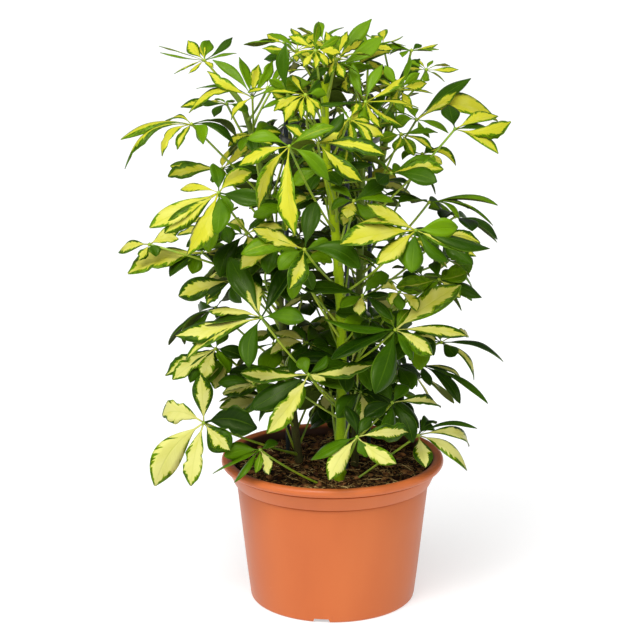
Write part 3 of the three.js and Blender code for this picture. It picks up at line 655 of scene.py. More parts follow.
# Each leaf, roughly from the lowest up on its stem, in mm and degrees: the height at which it leaves the
# stem, its hub, how far the umbrella leans and the azimuth that it leans towards, the length of its
# leaflets, how far they bend, and its leaflets in a short form. That is a leaflet's direction round the
# hub, a letter for its colour, and then up to four numbers with strokes between them: its length in
# percent of the leaf's, its bend, how far it is rolled round its midrib, and its width in percent. Where
# one is left out, the leaflet has the leaf's bend, its full width, a length by its place and a roll by
# chance. A bend below nought curls the tip up. The letters are g green, d dark green, v green and yellow,
# y yellow, l light green. A capital is a large leaflet.
LEAVES = {
    "front": [
        (150, (-84, -92, 213), 46, -105, 60, 44,
         "200g104/30/40 232g84/20/30 186G62/20 262l50/20 290Y54/14/0 30g40"),
        (150, (101, -64, 222), 38, -78, 72, 40,
         "278V58/24/0 336Y94/52/0 26Y128/80/0/70 60D66/70/0/90 22d110/40/-30/30 66d62/70/20 172d76/10/-20 "
         "150d60"),
        (172, (28, -132, 241), 58, -90, 60, 36,
         "24v118/70/10 106d66/20 60d50 194G92/50/20 236Y88/10/0 326Y80/14/0 300g44"),
        (200, (69, -92, 270), 44, -80, 64, 40, "26V116/80/10 302D78/40/10 256D66/30/0 205d62 60g50 120d50"),
        (240, (-58, -58, 290), 36, -110, 76, 44, "150d 178v 212D 240d 300g 60d"),
        (250, (-27, -118, 311), 56, -95, 76, 26,
         "4v96/10/-12 50g40 112g30 170v104/24/50 236Y98/16/0 338y28/10 204d104/30"),
        (255, (-80, -128, 380), 46, -100, 86, 36,
         "60D78/6/-10 116D82/6/10 98y52/10 150Y80/50/20 187V100/30/10 206V100/36 174d100/56/20 258D66/30/0 "
         "350G52/16/10"),
        (300, (71, -112, 362), 52, -82, 84, 34,
         "37Y95/14/-4/115 328V54/20/0/135 252D90/10/0 208d102/20/50 174g100/14/30 8v104/36/0/50 62l40 "
         "118l40 300g50"),
        (288, (76, -96, 402), 30, -70, 36, 60, "30g 150y 232y 275g 322y"),
        (388, (92, -134, 481), 60, -80, 78, 34,
         "6G52/16/0/130 357d112/30 346V70/30 322g66/30 262G58/16/0 222Y72/10/0 190Y100/26/20 174y84/20/30 "
         "154Y68/4/0"),
        (398, (-31, -142, 461), 50, -92, 76, 40,
         "78D66/10/0 30g40 350d92/50/-10 252V62/14/0 215g50 182l92/20/-10 158Y70/14/-10"),
        (335, (-38, -96, 432), 34, -110, 62, 50, "150d 200d 250g 300d 20g"),
        (448, (140, -42, 581), 24, -60, 74, 40,
         "98D54/14/0/150 38Y76/20/0/130 18d60/20/0 318y112/-40/45/100 314y90/20/20/80"),
        (462, (-47, -152, 577), 64, -96, 86, 24, "162g55 190Y62/40 242Y80 275Y104 322g70 25l62"),
        (482, (-16, -142, 579), 56, -84, 66, 34,
         "55D60/10/0 28y40/0 110g40 150v60/20 205g40 318V90/16/10 350V98/20/20"),
        (520, (66, -74, 535), 24, -75, 64, 44,
         "240D46/10/0 342D74/20/0 24d128/84/-10/70 4v92/10/30 22g90/20/50 60g40 150g60/20"),
        (590, (-19, -78, 673), 56, -90, 36, 30, "0y 40l 85l 140l 190y 232y 270y 314y"),
        (600, (2, -38, 652), 62, -70, 62, 16,
         "55g112/4 35g106/4 12g80/30 78l60 104g50 205d60/40 240d45 150g60/30"),
    ],
    "right": [
        (250, (108, 22, 284), 24, -60, 78, 50,
         "344g130/54/-14/36 14v78/56/-10/50 334d56/34/-8/45 316d96/44/0/60 284d50/30/0/70 190d50 120d40"),
        (300, (130, -6, 320), 28, -60, 78, 50,
         "2d108/36/-16/80 334v98/76/-10/80 296D36/10 56y100/60/0/60 200d60/30 150d50 90g40"),
        (340, (124, -42, 405), 40, -75, 58, 40,
         "20L52/10/0/150 340d94/30/20 318v60/30 196L84/30/0 240g60/30 100g50 50l40"),
        (400, (112, -30, 494), 8, 60, 80, 48,
         "180d64/20/10 168g56/14/10 10g104/28/-8/80 354v112/62/-10/80 336l64/70/-6/80 24g70/40/-10 60d50 "
         "120d50 205g50/40"),
        (470, (79, -28, 573), 40, -70, 46, 34, "340v 20g 250l 205l 120g 300l"),
        (520, (37, -78, 616), 46, -90, 56, 26,
         "34Y84/0/-40 66G76/0/0 108G76/0/0 186d104/20/40 236y64/20/-30 268l60/30 296y70/30/-40 "
         "322Y84/20/-30 356Y94/20/-40"),
    ],
    "left": [
        (170, (-68, 4, 247), 20, -100, 62, 34,
         "168d104/20/50 180v112/24/40 196Y100/14/10 10d60 60d60 300g60 245g50"),
        (175, (-150, -82, 243), 76, -98, 86, 14,
         "2D66/30/0/150 92V57/10/0/130 148y84/76/0/110 228Y95/14/0/120 258Y76/14/0/125 320V46/30/0/160"),
        (210, (-92, -62, 284), 20, -100, 50, 40, "165g90 195y80 130d60 12V90/20/20 330g70 300g60 70D60"),
        (240, (-138, -32, 319), 44, -110, 66, 40,
         "200v104/30 214Y84/20/10 230d80/40 256Y60/16/0 300g60/40 344D52 150g50 60d40"),
        (285, (-140, 14, 358), 30, -170, 66, 56, "171D114/50/-10/120 200d 230g 120d 60d 300d"),
        (320, (-115, -62, 409), 36, -125, 62, 36,
         "178V98/24/-10/150 206d64/30/0/60 216v70/40 130g50 60d60 290d70 335d70"),
        (370, (-153, -22, 433), 42, -105, 52, 36,
         "198Y150/8/0/160 224d96/20/0 246g60 332Y66/10/0 312d90/30 60g50 120d50 20g60"),
        (385, (-213, -34, 445), 44, -100, 50, 34, "166V86/66/0/130 32Y72/20/0 12y70/30/0 300g40 240v50/20"),
        (420, (-126, -122, 521), 56, -100, 84, 34,
         "98g45 38Y46 350D58/30 305g36 271G55/20/0/125 240Y86/30/0/150 202Y90/26/-8 214v90/30 "
         "150y70/70/20/70"),
        (455, (-130, 4, 528), 26, -110, 58, 30,
         "48y80/10 74y52/0 168V94/20/0 184v110/25/0 320d70/50 352d80/50 250g50"),
        (490, (-160, -54, 588), 17, -112, 84, 60,
         "8d78/70/-10 345d85/75/10 296g52/60 250v60/60 222y78/80/-10 194v134/72/6 178v104/42/20 "
         "135v74/60/0/80"),
        (540, (-122, -14, 606), 16, -105, 60, 44,
         "158y80/50/0/70 172v93/30/0/80 186d60/10/0 238d50/50/-10 60g50 120g50 320g60"),
        (560, (-90, -66, 620), 48, -95, 60, 20,
         "146y100/6 135G92/0/0/80 106G76/4 64g84/6 160d112/24/0/50 14L100/16 171y148/68/0/60 222Y56/40 "
         "78y64/0"),
        (600, (-148, 0, 655), 24, -80, 48, 12,
         "175y112/4/26/40 184l106/4/24/40 214y94/44/20/60 238y72/36/10/60 104Y48/0 130Y62/0/0/140 "
         "84G64/0/0/120 50d100/0/-20/80 20G70/6/-10 300Y42/10/0"),
    ],
    "back": [
        (190, (92, 112, 250), 34, 40, 74, 48, "0g 52y 104g 156d 208d 260g 312v"),
        (215, (-40, 142, 262), 38, 110, 74, 48, "10d 62v 114g 166y 218d 270d 322g"),
        (290, (30, 172, 330), 44, 85, 80, 44, "20y 70v 120g 170v 225d 275d 330d"),
        (330, (-96, 122, 400), 36, 130, 78, 46, "10d 60g 112y 164v 216g 268d 320d"),
        (370, (142, 92, 400), 34, 35, 76, 46,
         "350v50/50/-16/60 326d50/50/-10/60 52g 104y 156d 208d 260d 312g60"),
        (440, (40, 172, 490), 44, 90, 80, 42, "20v 70y 120y 170g 225d 275d 330g"),
        (480, (-72, 116, 556), 34, 120, 72, 42, "12g 62y 114v 166g 218d 270d 322g"),
        (520, (98, 2, 586), 30, -70, 66, 36,
         "52D138/14/0/60 32Y172/50/10/130 45y100/4/-10/60 346G56/40/0 300l50 200g56/30 166d50 100g40"),
        (560, (92, 24, 664), 12, -70, 50, 16,
         "176g66/20/12 158g56/10/12 50D34/10/10 24Y60/0/0 352l64/10/-12 332l54/10/-12 205g60/40/10 "
         "240g50/40/40"),
        (585, (-56, 14, 674), 12, -90, 48, 24,
         "184l100/34/24 172g70/30/20 150Y44/0/-30 105g40/0 60g62/46/-10 18y78/16/-10 350g60 290g50"),
    ],
}

STALK_RADIUS = 1.35
HUB_RADIUS = 2.6
STALK_SIDES = 6
STALK_RINGS = 10
LEAFLET_WIDTH = 0.42  # of its length, in a leaflet of the next length
BROAD_LENGTH = 50  # longer leaflets are more slender
LEAFLET_THICKNESS = 0.6
LEAFLET_LIFT = 14  # how far a leaflet first rises from the umbrella's plane, in degrees
LARGE = 1.14  # a large leaflet against an ordinary one
# a leaflet's share of the leaf's length where none is stated, and how much more or less it is away from the
# stalk and over it
MIDDLE_SHARE = 0.84
SHARE_SWING = 0.22
BEND_SPREAD = 16  # how much the bend differs from leaflet to leaflet, in degrees
FOOT_LENGTH = 0.1  # the narrow foot of a leaflet, as a share of its length
FOOT_WIDTH = 0.07  # the foot's width as a share of the widest place's
NOTCHED = {"marked": 0.42, "green": 0.08}  # what share of the leaflets have a notched edge
TWIST = 1.5  # the range over which leaflets are twisted from foot to tip, in radians
ROLL = 0.9  # the range over which they are rolled, in radians, and twice that in the crown
SICKLE = 0.2  # the range over which they bend sideways, as a share of the length
FEWEST_LEAFLETS = 3  # a young or inner leaf with room for fewer isn't made
ACROSS = 4  # faces of a leaflet across and along
ALONG = 16
KEY_STEP = 17  # a leaflet's variation comes from its leaf's number times this, and its own number
CROWN_FOOT = 540  # leaves are younger from here up, and youngest at the crown's depth above it
CROWN_DEPTH = 90
CROWN_YELLOW = 0.52  # how yellow, at least, some leaflets of the crown are
CROWN_MARKED = 0.45  # what share of its leaflets without a stated length are so
TONE_FOOT = 200  # green gets lighter and yellow less creamy from here up, over the next height
TONE_DEPTH = 480
# How a leaflet and a stalk give way where something is in their place: a turn and a bend in degrees and a
# share of the length for the leaflet, and mm sideways and up at its middle for the stalk.
GIVE = [(0, 0, 1), (0, 12, 1), (0, -12, 1), (7, 0, 1), (-7, 0, 1), (7, 14, 1), (-7, 14, 1), (7, -14, 1),
        (-7, -14, 1), (0, 26, 0.95), (0, -26, 0.95), (14, 0, 0.9), (-14, 0, 0.9), (14, 20, 0.85),
        (-14, 20, 0.85), (0, 0, 0.78), (0, 24, 0.7), (0, -24, 0.7), (10, 0, 0.6), (-10, 0, 0.6), (0, 0, 0.5),
        (0, 0, 0.4)]
STALK_GIVE = [(0, 0), (7, 0), (-7, 0), (0, 8), (0, -8), (12, 6), (-12, 6), (12, -8), (-12, -8), (20, 0),
              (-20, 0), (0, 18), (28, 8), (-28, 8)]
# More ways, for the stalk of a listed leaf that finds none of those free. If these aren't free either, it
# takes the one that crosses least.
STALK_DETOURS = [(sideways, lift) for sideways in (3, -3, 10, -10, 16, -16, 24, -24, 34, -34, 44, -44)
                 for lift in (3, -3, 13, -13, 23)]
# What the letters mean: how much of the leaflet is yellow, and how light its green is.
MARKING = {"g": (0.0, 0.5), "d": (0.0, 0.12), "l": (0.06, 0.9), "v": (0.5, 0.4), "y": (0.82, 0.6)}
UP = Vector((0, 0, 1))
Blade = namedtuple("Blade", "azimuth letter share bend roll width")


def flat_direction(azimuth):
    """The level direction at an azimuth in degrees."""
    angle = math.radians(azimuth)
    return Vector((math.cos(angle), math.sin(angle), 0))


def point_at_height(curve, height):
    """The point of a stem's axis at a height, found by halving, since every stem rises all the way."""
    low, high = 0.0, 1.0
    for _ in range(24):
        middle = (low + high) / 2
        if curve.at(middle).z < height:
            low = middle
        else:
            high = middle
    return curve.at(low)


class Leaf:
    """One leaf's place and axes: its normal out of the top of the umbrella, and right and over in its
    plane."""

    def __init__(self, number, name, stem, root, hub, tilt, face, length, droop, blades):
        self.number, self.name, self.stem, self.length, self.droop = number, name, stem, length, droop
        self.hub = Vector(hub)
        self.root = root
        lean = math.radians(tilt)
        self.normal = flat_direction(face) * math.sin(lean) + UP * math.cos(lean)
        self.right = (Vector((1, 0, 0)) - self.normal * self.normal.x).normalized()
        self.over = self.normal.cross(self.right)
        away = self.hub - self.root
        self.away = math.atan2(away.dot(self.over), away.dot(self.right))
        self.blades = [self.blade(text) for text in blades.split()]

    def blade(self, text):
        """A leaflet from its short form. Its share and roll are None where the form leaves them out."""
        letter = next(each for each in text if each.isalpha())
        azimuth, rest = text.split(letter)
        share, bend, roll, width = (rest.split("/") + ["", "", ""])[:4]
        return Blade(float(azimuth), letter, float(share) / 100 if share else None,
                     float(bend) if bend else self.droop, math.radians(float(roll)) if roll else None,
                     float(width) / 100 if width else 1)

    def height_share(self):
        """How far up the bush it is, from 0 to 1. Green is lighter and yellow deeper towards the top."""
        return min(1, max(0, (self.hub.z - TONE_FOOT) / TONE_DEPTH))

    def youth(self):
        """How young the leaf is, from 0 to 1: the leaves of the crown are the youngest."""
        return min(1, max(0, (self.hub.z - CROWN_FOOT) / CROWN_DEPTH))

    def stalk(self, sideways, lift):
        """The curve of the stalk with its middle moved, and the direction across it."""
        along = self.hub - self.root
        side = along.cross(UP).normalized()
        middle = self.root + along * 0.55 + side * sideways + UP * (lift - 0.08 * along.length)
        return Bow(self.root, middle, self.hub), side

    def leaflet(self, index, turn, bend, share):
        """The curve of a leaflet's midrib, its length, and the direction across it."""
        blade = self.blades[index]
        key = self.number * KEY_STEP + index
        angle = math.radians(blade.azimuth + turn)
        size = blade.share or MIDDLE_SHARE + SHARE_SWING * math.cos(angle - self.away)
        length = self.length * size * (LARGE if blade.letter.isupper() else 1) * share
        flat = self.right * math.cos(angle) + self.over * math.sin(angle)
        lift = math.radians(LEAFLET_LIFT)
        start = flat * math.cos(lift) + self.normal * math.sin(lift)
        sag = (-self.normal - UP).normalized()
        square = (sag - start * sag.dot(start)).normalized()
        droop = math.radians(blade.bend + bend + BEND_SPREAD * (variation(key) - 0.5))
        end = start * math.cos(droop) + square * math.sin(droop)
        middle = self.hub + start * length * 0.52
        side = start.cross(self.normal).normalized()
        return Bow(self.hub + start, middle, middle + end * length * 0.5), length, side


def leaflet_half_width(t, key, fancy, youth):
    """Half the width of a leaflet at t, as a share of its widest half: a narrow foot, widest past the
    middle, a pointed tip, and slimmer in its youth. A fancy one has a notched and wavy outline."""
    if t <= FOOT_LENGTH:
        return FOOT_WIDTH
    s = (t - FOOT_LENGTH) / (1 - FOOT_LENGTH)
    width = math.sin(math.pi * s**1.38) ** (0.76 + 0.36 * youth)
    if fancy:
        width *= 1 - 0.34 * max(0.0, math.sin(11 * s + 6.3 * variation(key + 0.5))) ** 3 * min(1, s * 2)
        width *= 1 - 0.16 * variation(key + 3.1 * round(s * ALONG)) * min(1, s * 2)
    return max(FOOT_WIDTH, width)


def leaflet_mesh(leaf, index, give):
    """A bmesh of one leaflet: a grid laid along its midrib, folded along it, and a little wavy towards the
    edges."""
    curve, length, side = leaf.leaflet(index, *give)
    shape = leaf.blades[index]
    key = leaf.number * KEY_STEP + index
    yellow, tone = MARKING[shape.letter.lower()]
    fancy = variation(key + 0.9) < NOTCHED["marked" if shape.letter in "yYlLvV" else "green"]
    youth = leaf.youth()
    half = LEAFLET_WIDTH / 2 * math.sqrt(length * BROAD_LENGTH) * (0.84 + 0.34 * variation(key + 0.1))
    half *= 1 - 0.3 * youth
    half *= shape.width
    # how far each half folds up from the midrib and its edge curls down again, and how the blade twists,
    # rolls, bends sideways like a sickle and is waved along its edge
    fold = 0.2 + 0.55 * variation(key + 0.2)
    curl = 0.1 + 0.6 * variation(key + 0.8)
    twist = TWIST * (variation(key + 0.22) - 0.5)
    roll = shape.roll
    if roll is None:
        roll = (ROLL + ROLL * youth) * (variation(key + 0.12) - 0.5)
    sickle = SICKLE * length * (variation(key + 0.32) - 0.5)
    waves = (0.12 if fancy else 0.05) * length / 10
    bm = bmesh.new()
    bmesh.ops.create_grid(bm, x_segments=ACROSS, y_segments=ALONG, size=0.5)
    uv = bm.loops.layers.uv.new("leaflet")
    marking = bm.verts.layers.float_color.new("marking")
    for face in bm.faces:
        for loop in face.loops:
            loop[uv].uv = (loop.vert.co.x + 0.5, loop.vert.co.y + 0.5)
    yellow *= (0.8 + 0.4 * variation(key + 0.3)) * (1 - 0.2 * youth)
    if shape.share is None and variation(key + 0.5) > 1 - CROWN_MARKED:
        yellow = max(yellow, CROWN_YELLOW * youth)
    tone = min(1, max(0, tone + 0.3 * (variation(key + 0.6) - 0.5)))
    values = Vector((yellow, variation(key + 0.4), tone, leaf.height_share()))
    for vert in bm.verts:
        u = vert.co.x * 2
        t = vert.co.y + 0.5
        vert[marking] = values
        width = half * leaflet_half_width(t, key + (11 if u > 0 else 0), fancy, youth)
        ahead = curve.along(t)
        flat = (side - ahead * side.dot(ahead)).normalized()
        flat = Matrix.Rotation((roll + twist * t) * min(1, 2.5 * t), 3, ahead) @ flat
        top = flat.cross(ahead)
        phase = t * (9 + 4 * variation(key + 0.7)) + (2 if u > 0 else 0) + key
        ripple = waves * u * u * math.sin(phase) * min(1, 3 * t)
        rise = (abs(u) * fold - u * u * curl) * width + ripple * width / half
        bend = side * (sickle * math.sin(math.pi * t))
        vert.co = (curve.at(t) + bend + flat * (u * width) + top * rise) * MM
    return bm


def crossings(bm, skip):
    """How many pairs of faces cross between a new mesh and what is in place, apart from the thing named
    skip."""
    tree = as_obstacle(bm)[0]
    return sum(len(tree.overlap(other)) for other, _, _, name in obstacles if name != skip)


def clear(bm, skip=None, thickness=0):
    """A new mesh as an obstacle if it crosses nothing in place, apart from the thing named skip, or else
    None."""
    tree, low, high = as_obstacle(bm, thickness)
    for other, other_low, other_high, name in obstacles:
        if name == skip or any(low[i] > other_high[i] or high[i] < other_low[i] for i in range(3)):
            continue
        if tree.overlap(other):
            return None
    return tree, low, high


def leaf_pattern_group():
    """Where a leaflet is yellow, where it is lime between green and yellow, its veins, and a painted highlight
    along its edge. It reads the leaflet map, across and along the leaflet, and the marking: how yellow, a seed,
    how light, how high up."""
    tree = bpy.data.node_groups.new("leaf_pattern", "ShaderNodeTree")
    for name in ("Yellow", "Lime", "Vein", "Edge", "Dark", "Tone", "Pale", "Height"):
        tree.interface.new_socket(name, in_out="OUTPUT", socket_type="NodeSocketFloat")

    def maths(operation, *values):
        return node(tree, "Math", dict(enumerate(values)), operation=operation).outputs[0]

    def between(value, low, high, to_low=0.0, to_high=1.0, kind="SMOOTHSTEP"):
        return node(tree, "MapRange", {"Value": value, "From Min": low, "From Max": high, "To Min": to_low,
                                       "To Max": to_high}, interpolation_type=kind).outputs[0]

    def noise_of(x, y, z, detail=2.0):
        place = node(tree, "CombineXYZ", {"X": x, "Y": y, "Z": z}).outputs[0]
        return node(tree, "TexNoise", {"Vector": place, "Scale": 1.0, "Detail": detail}).outputs["Fac"]

    place = node(tree, "SeparateXYZ", {"Vector": node(tree, "UVMap", uv_map="leaflet").outputs[0]})
    marking = node(tree, "Attribute", attribute_name="marking").outputs
    mark = node(tree, "SeparateColor", {"Color": marking["Color"]})
    height_share = marking["Alpha"]
    yellowness, seed, tone = mark.outputs[0], mark.outputs[1], mark.outputs[2]
    along = place.outputs["Y"]
    signed = maths("MULTIPLY_ADD", place.outputs["X"], 2.0, -1.0)
    off = maths("ABSOLUTE", signed)
    half = maths("GREATER_THAN", signed, 0.0)
    # a side vein starts from the midrib nearer the foot than where it meets the edge
    vein_root = maths("MULTIPLY_ADD", off, -0.2, along)
    lane = maths("MULTIPLY_ADD", seed, 57.0, maths("MULTIPLY", half, 5.3))
    broad = noise_of(maths("MULTIPLY", vein_root, 3.6), lane, 0.0)
    jagged = noise_of(maths("MULTIPLY", vein_root, 20.0), lane, maths("MULTIPLY", off, 1.2), 3.0)
    fleck = noise_of(maths("MULTIPLY", vein_root, 15.0), lane, maths("MULTIPLY", off, 5.0), 3.0)
    reach = maths("MULTIPLY", yellowness, maths("MULTIPLY_ADD", broad, 1.9, 0.06))
    teeth = maths("MULTIPLY", maths("SUBTRACT", jagged, 0.5), maths("MULTIPLY", yellowness, 1.5))
    reach = maths("ADD", reach, teeth)
    reach = maths("MULTIPLY", reach, between(along, 0.7, 1.02, 1.0, 0.35))
    gap = maths("SUBTRACT", reach, off)
    variegated = between(yellowness, 0.02, 0.1)
    yellow = maths("MULTIPLY", between(gap, 0.0, 0.03), variegated)
    # a lime zone of uneven width lies outside the yellow, and a dark one, like a shadow, outside that
    lime = maths("MULTIPLY", between(maths("MULTIPLY_ADD", fleck, 0.7, gap), 0.27, 0.31), variegated)
    dark = maths("MULTIPLY", between(fleck, 0.46, 0.52), variegated)
    midrib = between(off, 0.02, 0.075, 1.0, 0.0)
    ribs = maths("ABSOLUTE", maths("SUBTRACT", maths("FRACT", maths("MULTIPLY", vein_root, 10.0)), 0.5))
    ribs = between(ribs, 0.0, 0.09, 1.0, 0.0)
    vein = maths("MAXIMUM", midrib, maths("MULTIPLY", ribs, 0.35))
    # painted highlight: a lighter band along the margin of each leaflet
    edge = between(off, 0.9, 0.98)
    cells = noise_of(maths("MULTIPLY", place.outputs["X"], 14.0), maths("MULTIPLY", along, 30.0), lane)
    height = maths("MULTIPLY_ADD", vein, -1.0, maths("MULTIPLY", cells, 0.35))
    pale = maths("MULTIPLY_ADD", height_share, -0.9, maths("MULTIPLY_ADD", broad, 0.9, 0.12))
    node(tree, "NodeGroupOutput", {"Yellow": yellow, "Lime": lime, "Vein": vein, "Edge": edge, "Dark": dark,
                                   "Tone": maths("MULTIPLY_ADD", height_share, 0.2, tone), "Pale": pale,
                                   "Height": height})
    return tree


LEAF_PATTERN = leaf_pattern_group()


def leaf_material(name, dark, green, light, lime, yellow, cream, edge, roughness, coat, through):
    """Leaf skin on one side of the blade: the colours of its zones, a painted highlight along the margin, its
    gloss, and the light that comes through."""
    material, tree, shader = new_material(name, Coat_Weight=coat, Coat_Roughness=0.2, Specular_IOR_Level=0.12,
                                          Specular_Tint=(0.85, 1, 0.3, 1))
    pattern = node(tree, "Group", node_tree=LEAF_PATTERN).outputs
    cloudy = mottled(tree, 26.0, 1.0, 500.0)

    def mix(factor, first, second):
        first = (*first, 1) if isinstance(first, tuple) else first
        second = (*second, 1) if isinstance(second, tuple) else second
        return node(tree, "MixRGB", {"Fac": factor, "Color1": first, "Color2": second}).outputs[0]

    def scaled(value, factor):
        return node(tree, "Math", {0: value, 1: factor}, operation="MULTIPLY").outputs[0]

    def clouded(value, strength):
        return node(tree, "Math", {0: cloudy["Mottle"], 1: strength, 2: value},
                    operation="MULTIPLY_ADD").outputs[0]

    tone = clouded(pattern["Tone"], 0.5)
    body = ramp(tree, tone, (0.25, dark), (0.75, green), (1.0, light))
    body = mix(scaled(pattern["Vein"], 0.2), body, light)
    body = mix(scaled(pattern["Dark"], 0.6), body, dark)
    colour = mix(scaled(pattern["Lime"], 0.8), body, lime)
    pale = ramp(tree, clouded(pattern["Pale"], 0.8), (0.3, yellow), (1.0, cream))
    pale = mix(scaled(pattern["Vein"], 0.12), pale, lime)
    colour = mix(pattern["Yellow"], colour, pale)
    # painted highlight: the margin is lightened towards the edge colour
    colour = mix(scaled(pattern["Edge"], 0.4), colour, edge)
    link_surface(tree, shader, colour, (pattern["Height"], 0.5, 0.0005),
                 (cloudy["Grain"], roughness - 0.05, roughness + 0.1))
    glow = node(tree, "BsdfTranslucent", {"Color": colour})
    both = node(tree, "MixShader", {"Fac": through, 1: shader.outputs[0], 2: glow.outputs[0]})
    tree.links.new(both.outputs[0], tree.nodes["Material Output"].inputs["Surface"])
    return material


# edge is the colour of the painted highlight along each leaflet's margin
leaf_top = leaf_material(
    "leaf_top", dark=(0.006, 0.024, 0.001), green=(0.040, 0.108, 0.0015), light=(0.115, 0.23, 0.002),
    lime=(0.26, 0.345, 0.006), yellow=(0.47, 0.46, 0.025), cream=(0.60, 0.585, 0.18), edge=(0.14, 0.26, 0.01),
    roughness=0.28, coat=0.06, through=0.12)
leaf_under = leaf_material(
    "leaf_underside", dark=(0.03, 0.048, 0.007), green=(0.08, 0.12, 0.012), light=(0.14, 0.185, 0.018),
    lime=(0.19, 0.235, 0.025), yellow=(0.36, 0.36, 0.05), cream=(0.44, 0.44, 0.15), edge=(0.16, 0.2, 0.03),
    roughness=0.6, coat=0.0, through=0.18)


def stalk_material():
    """The smooth green skin of stalks and hubs, mottled from green to yellow-green."""
    material, tree, shader = new_material("leaf_stalk", Roughness=0.42)
    streaks = mottled(tree, 60.0, 0.4, 900.0)
    colour = ramp(tree, streaks["Mottle"], (0.3, (0.12, 0.22, 0.006)), (0.5, (0.23, 0.35, 0.010)),
                  (0.72, (0.38, 0.46, 0.02)))
    link_surface(tree, shader, colour, (streaks["Grain"], 0.3, 0.0004))
    return material


stalk_skin = stalk_material()


def laid_stalk(leaf, give):
    """A bmesh of a leaf's stalk, flared where it grows out of the stem."""
    curve, side = leaf.stalk(*give)

    def radius(t, turn):
        return STALK_RADIUS * (1.9 - 4.5 * t if t < 0.2 else 1)

    return laid_rod(curve, side, radius, STALK_SIDES, STALK_RINGS)


def free_stalk(leaf, wanted):
    """A leaf's stalk as a bmesh and as an obstacle, on the first way that is free. Where there is none, a
    wanted leaf's takes the way that crosses least, and another's is None."""
    crossed = {}
    for give in STALK_GIVE + (STALK_DETOURS if wanted else []):
        bm = laid_stalk(leaf, give)
        found = clear(bm, leaf.stem)
        if found:
            return bm, found
        if wanted:
            crossed[give] = crossings(bm, leaf.stem)
        bm.free()
    if not wanted:
        return None
    bm = laid_stalk(leaf, min(crossed, key=crossed.get))
    return bm, as_obstacle(bm)


def make_leaf(leaf, wanted):
    """The bmeshes of a leaf: its stalk with the hub, then each leaflet that finds room. A leaf that isn't
    wanted at any cost is None where it has too little room."""
    stalk = free_stalk(leaf, wanted)
    if not stalk:
        return None
    bm, found = stalk
    bmesh.ops.create_icosphere(bm, subdivisions=1, radius=HUB_RADIUS * MM,
                               matrix=Matrix.Translation(leaf.hub * MM))
    parts = [bm]
    own = [(*found, leaf.name)]
    for index in range(len(leaf.blades)):
        for give in GIVE:
            blade = leaflet_mesh(leaf, index, give)
            found = clear(blade, thickness=LEAFLET_THICKNESS * MM)
            if found:
                parts.append(blade)
                own.append((*found, leaf.name))
                break
            blade.free()
    if len(parts) <= FEWEST_LEAFLETS and not wanted:
        return None
    obstacles.extend(own)
    return parts


def grow(leaf, nodes=()):
    """Puts a leaf in the scene, and says whether it had room. One that stands for nodes is made at any
    cost."""
    parts = make_leaf(leaf, wanted=bool(nodes))
    if not parts:
        return False
    stalk = finished(parts[0], f"{leaf.name}_stalk", [stalk_skin], 60)
    blades = joined(parts[1:])
    bmesh.ops.remove_doubles(blades, verts=blades.verts, dist=1e-6)
    umbrella = finished(blades, f"{leaf.name}_blades", [leaf_top, leaf_under], 179)
    thick = umbrella.modifiers.new("blade", "SOLIDIFY")
    thick.thickness = LEAFLET_THICKNESS * MM
    thick.offset = -1
    thick.material_offset = 1
    thick.material_offset_rim = 0
    for piece in (stalk, umbrella):
        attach(piece, "root")
        if nodes:
            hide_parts(*nodes)
    hubs.append(leaf.hub)
    return True


number = 0
hubs = []
for stem, leaves in LEAVES.items():
    for index, (height, *shape) in enumerate(leaves):
        number += 1
        name = f"{stem}_leaf_{index + 1:02d}"
        grow(Leaf(number, name, stem, point_at_height(stems[stem], height), *shape), [name])

# -----------------------------------------------------------------------------------------------------------
# The young leaves
# -----------------------------------------------------------------------------------------------------------
# Smaller leaves, half of them near the tips of the stems, which fill the crown and the gaps lower down.
# They are of the same make as the leaves above: stalk, hub and leaflets, grown from a stem. The first
# value of each is its stem, and the others are as above. One that finds no room isn't made, and keeps its
# number.

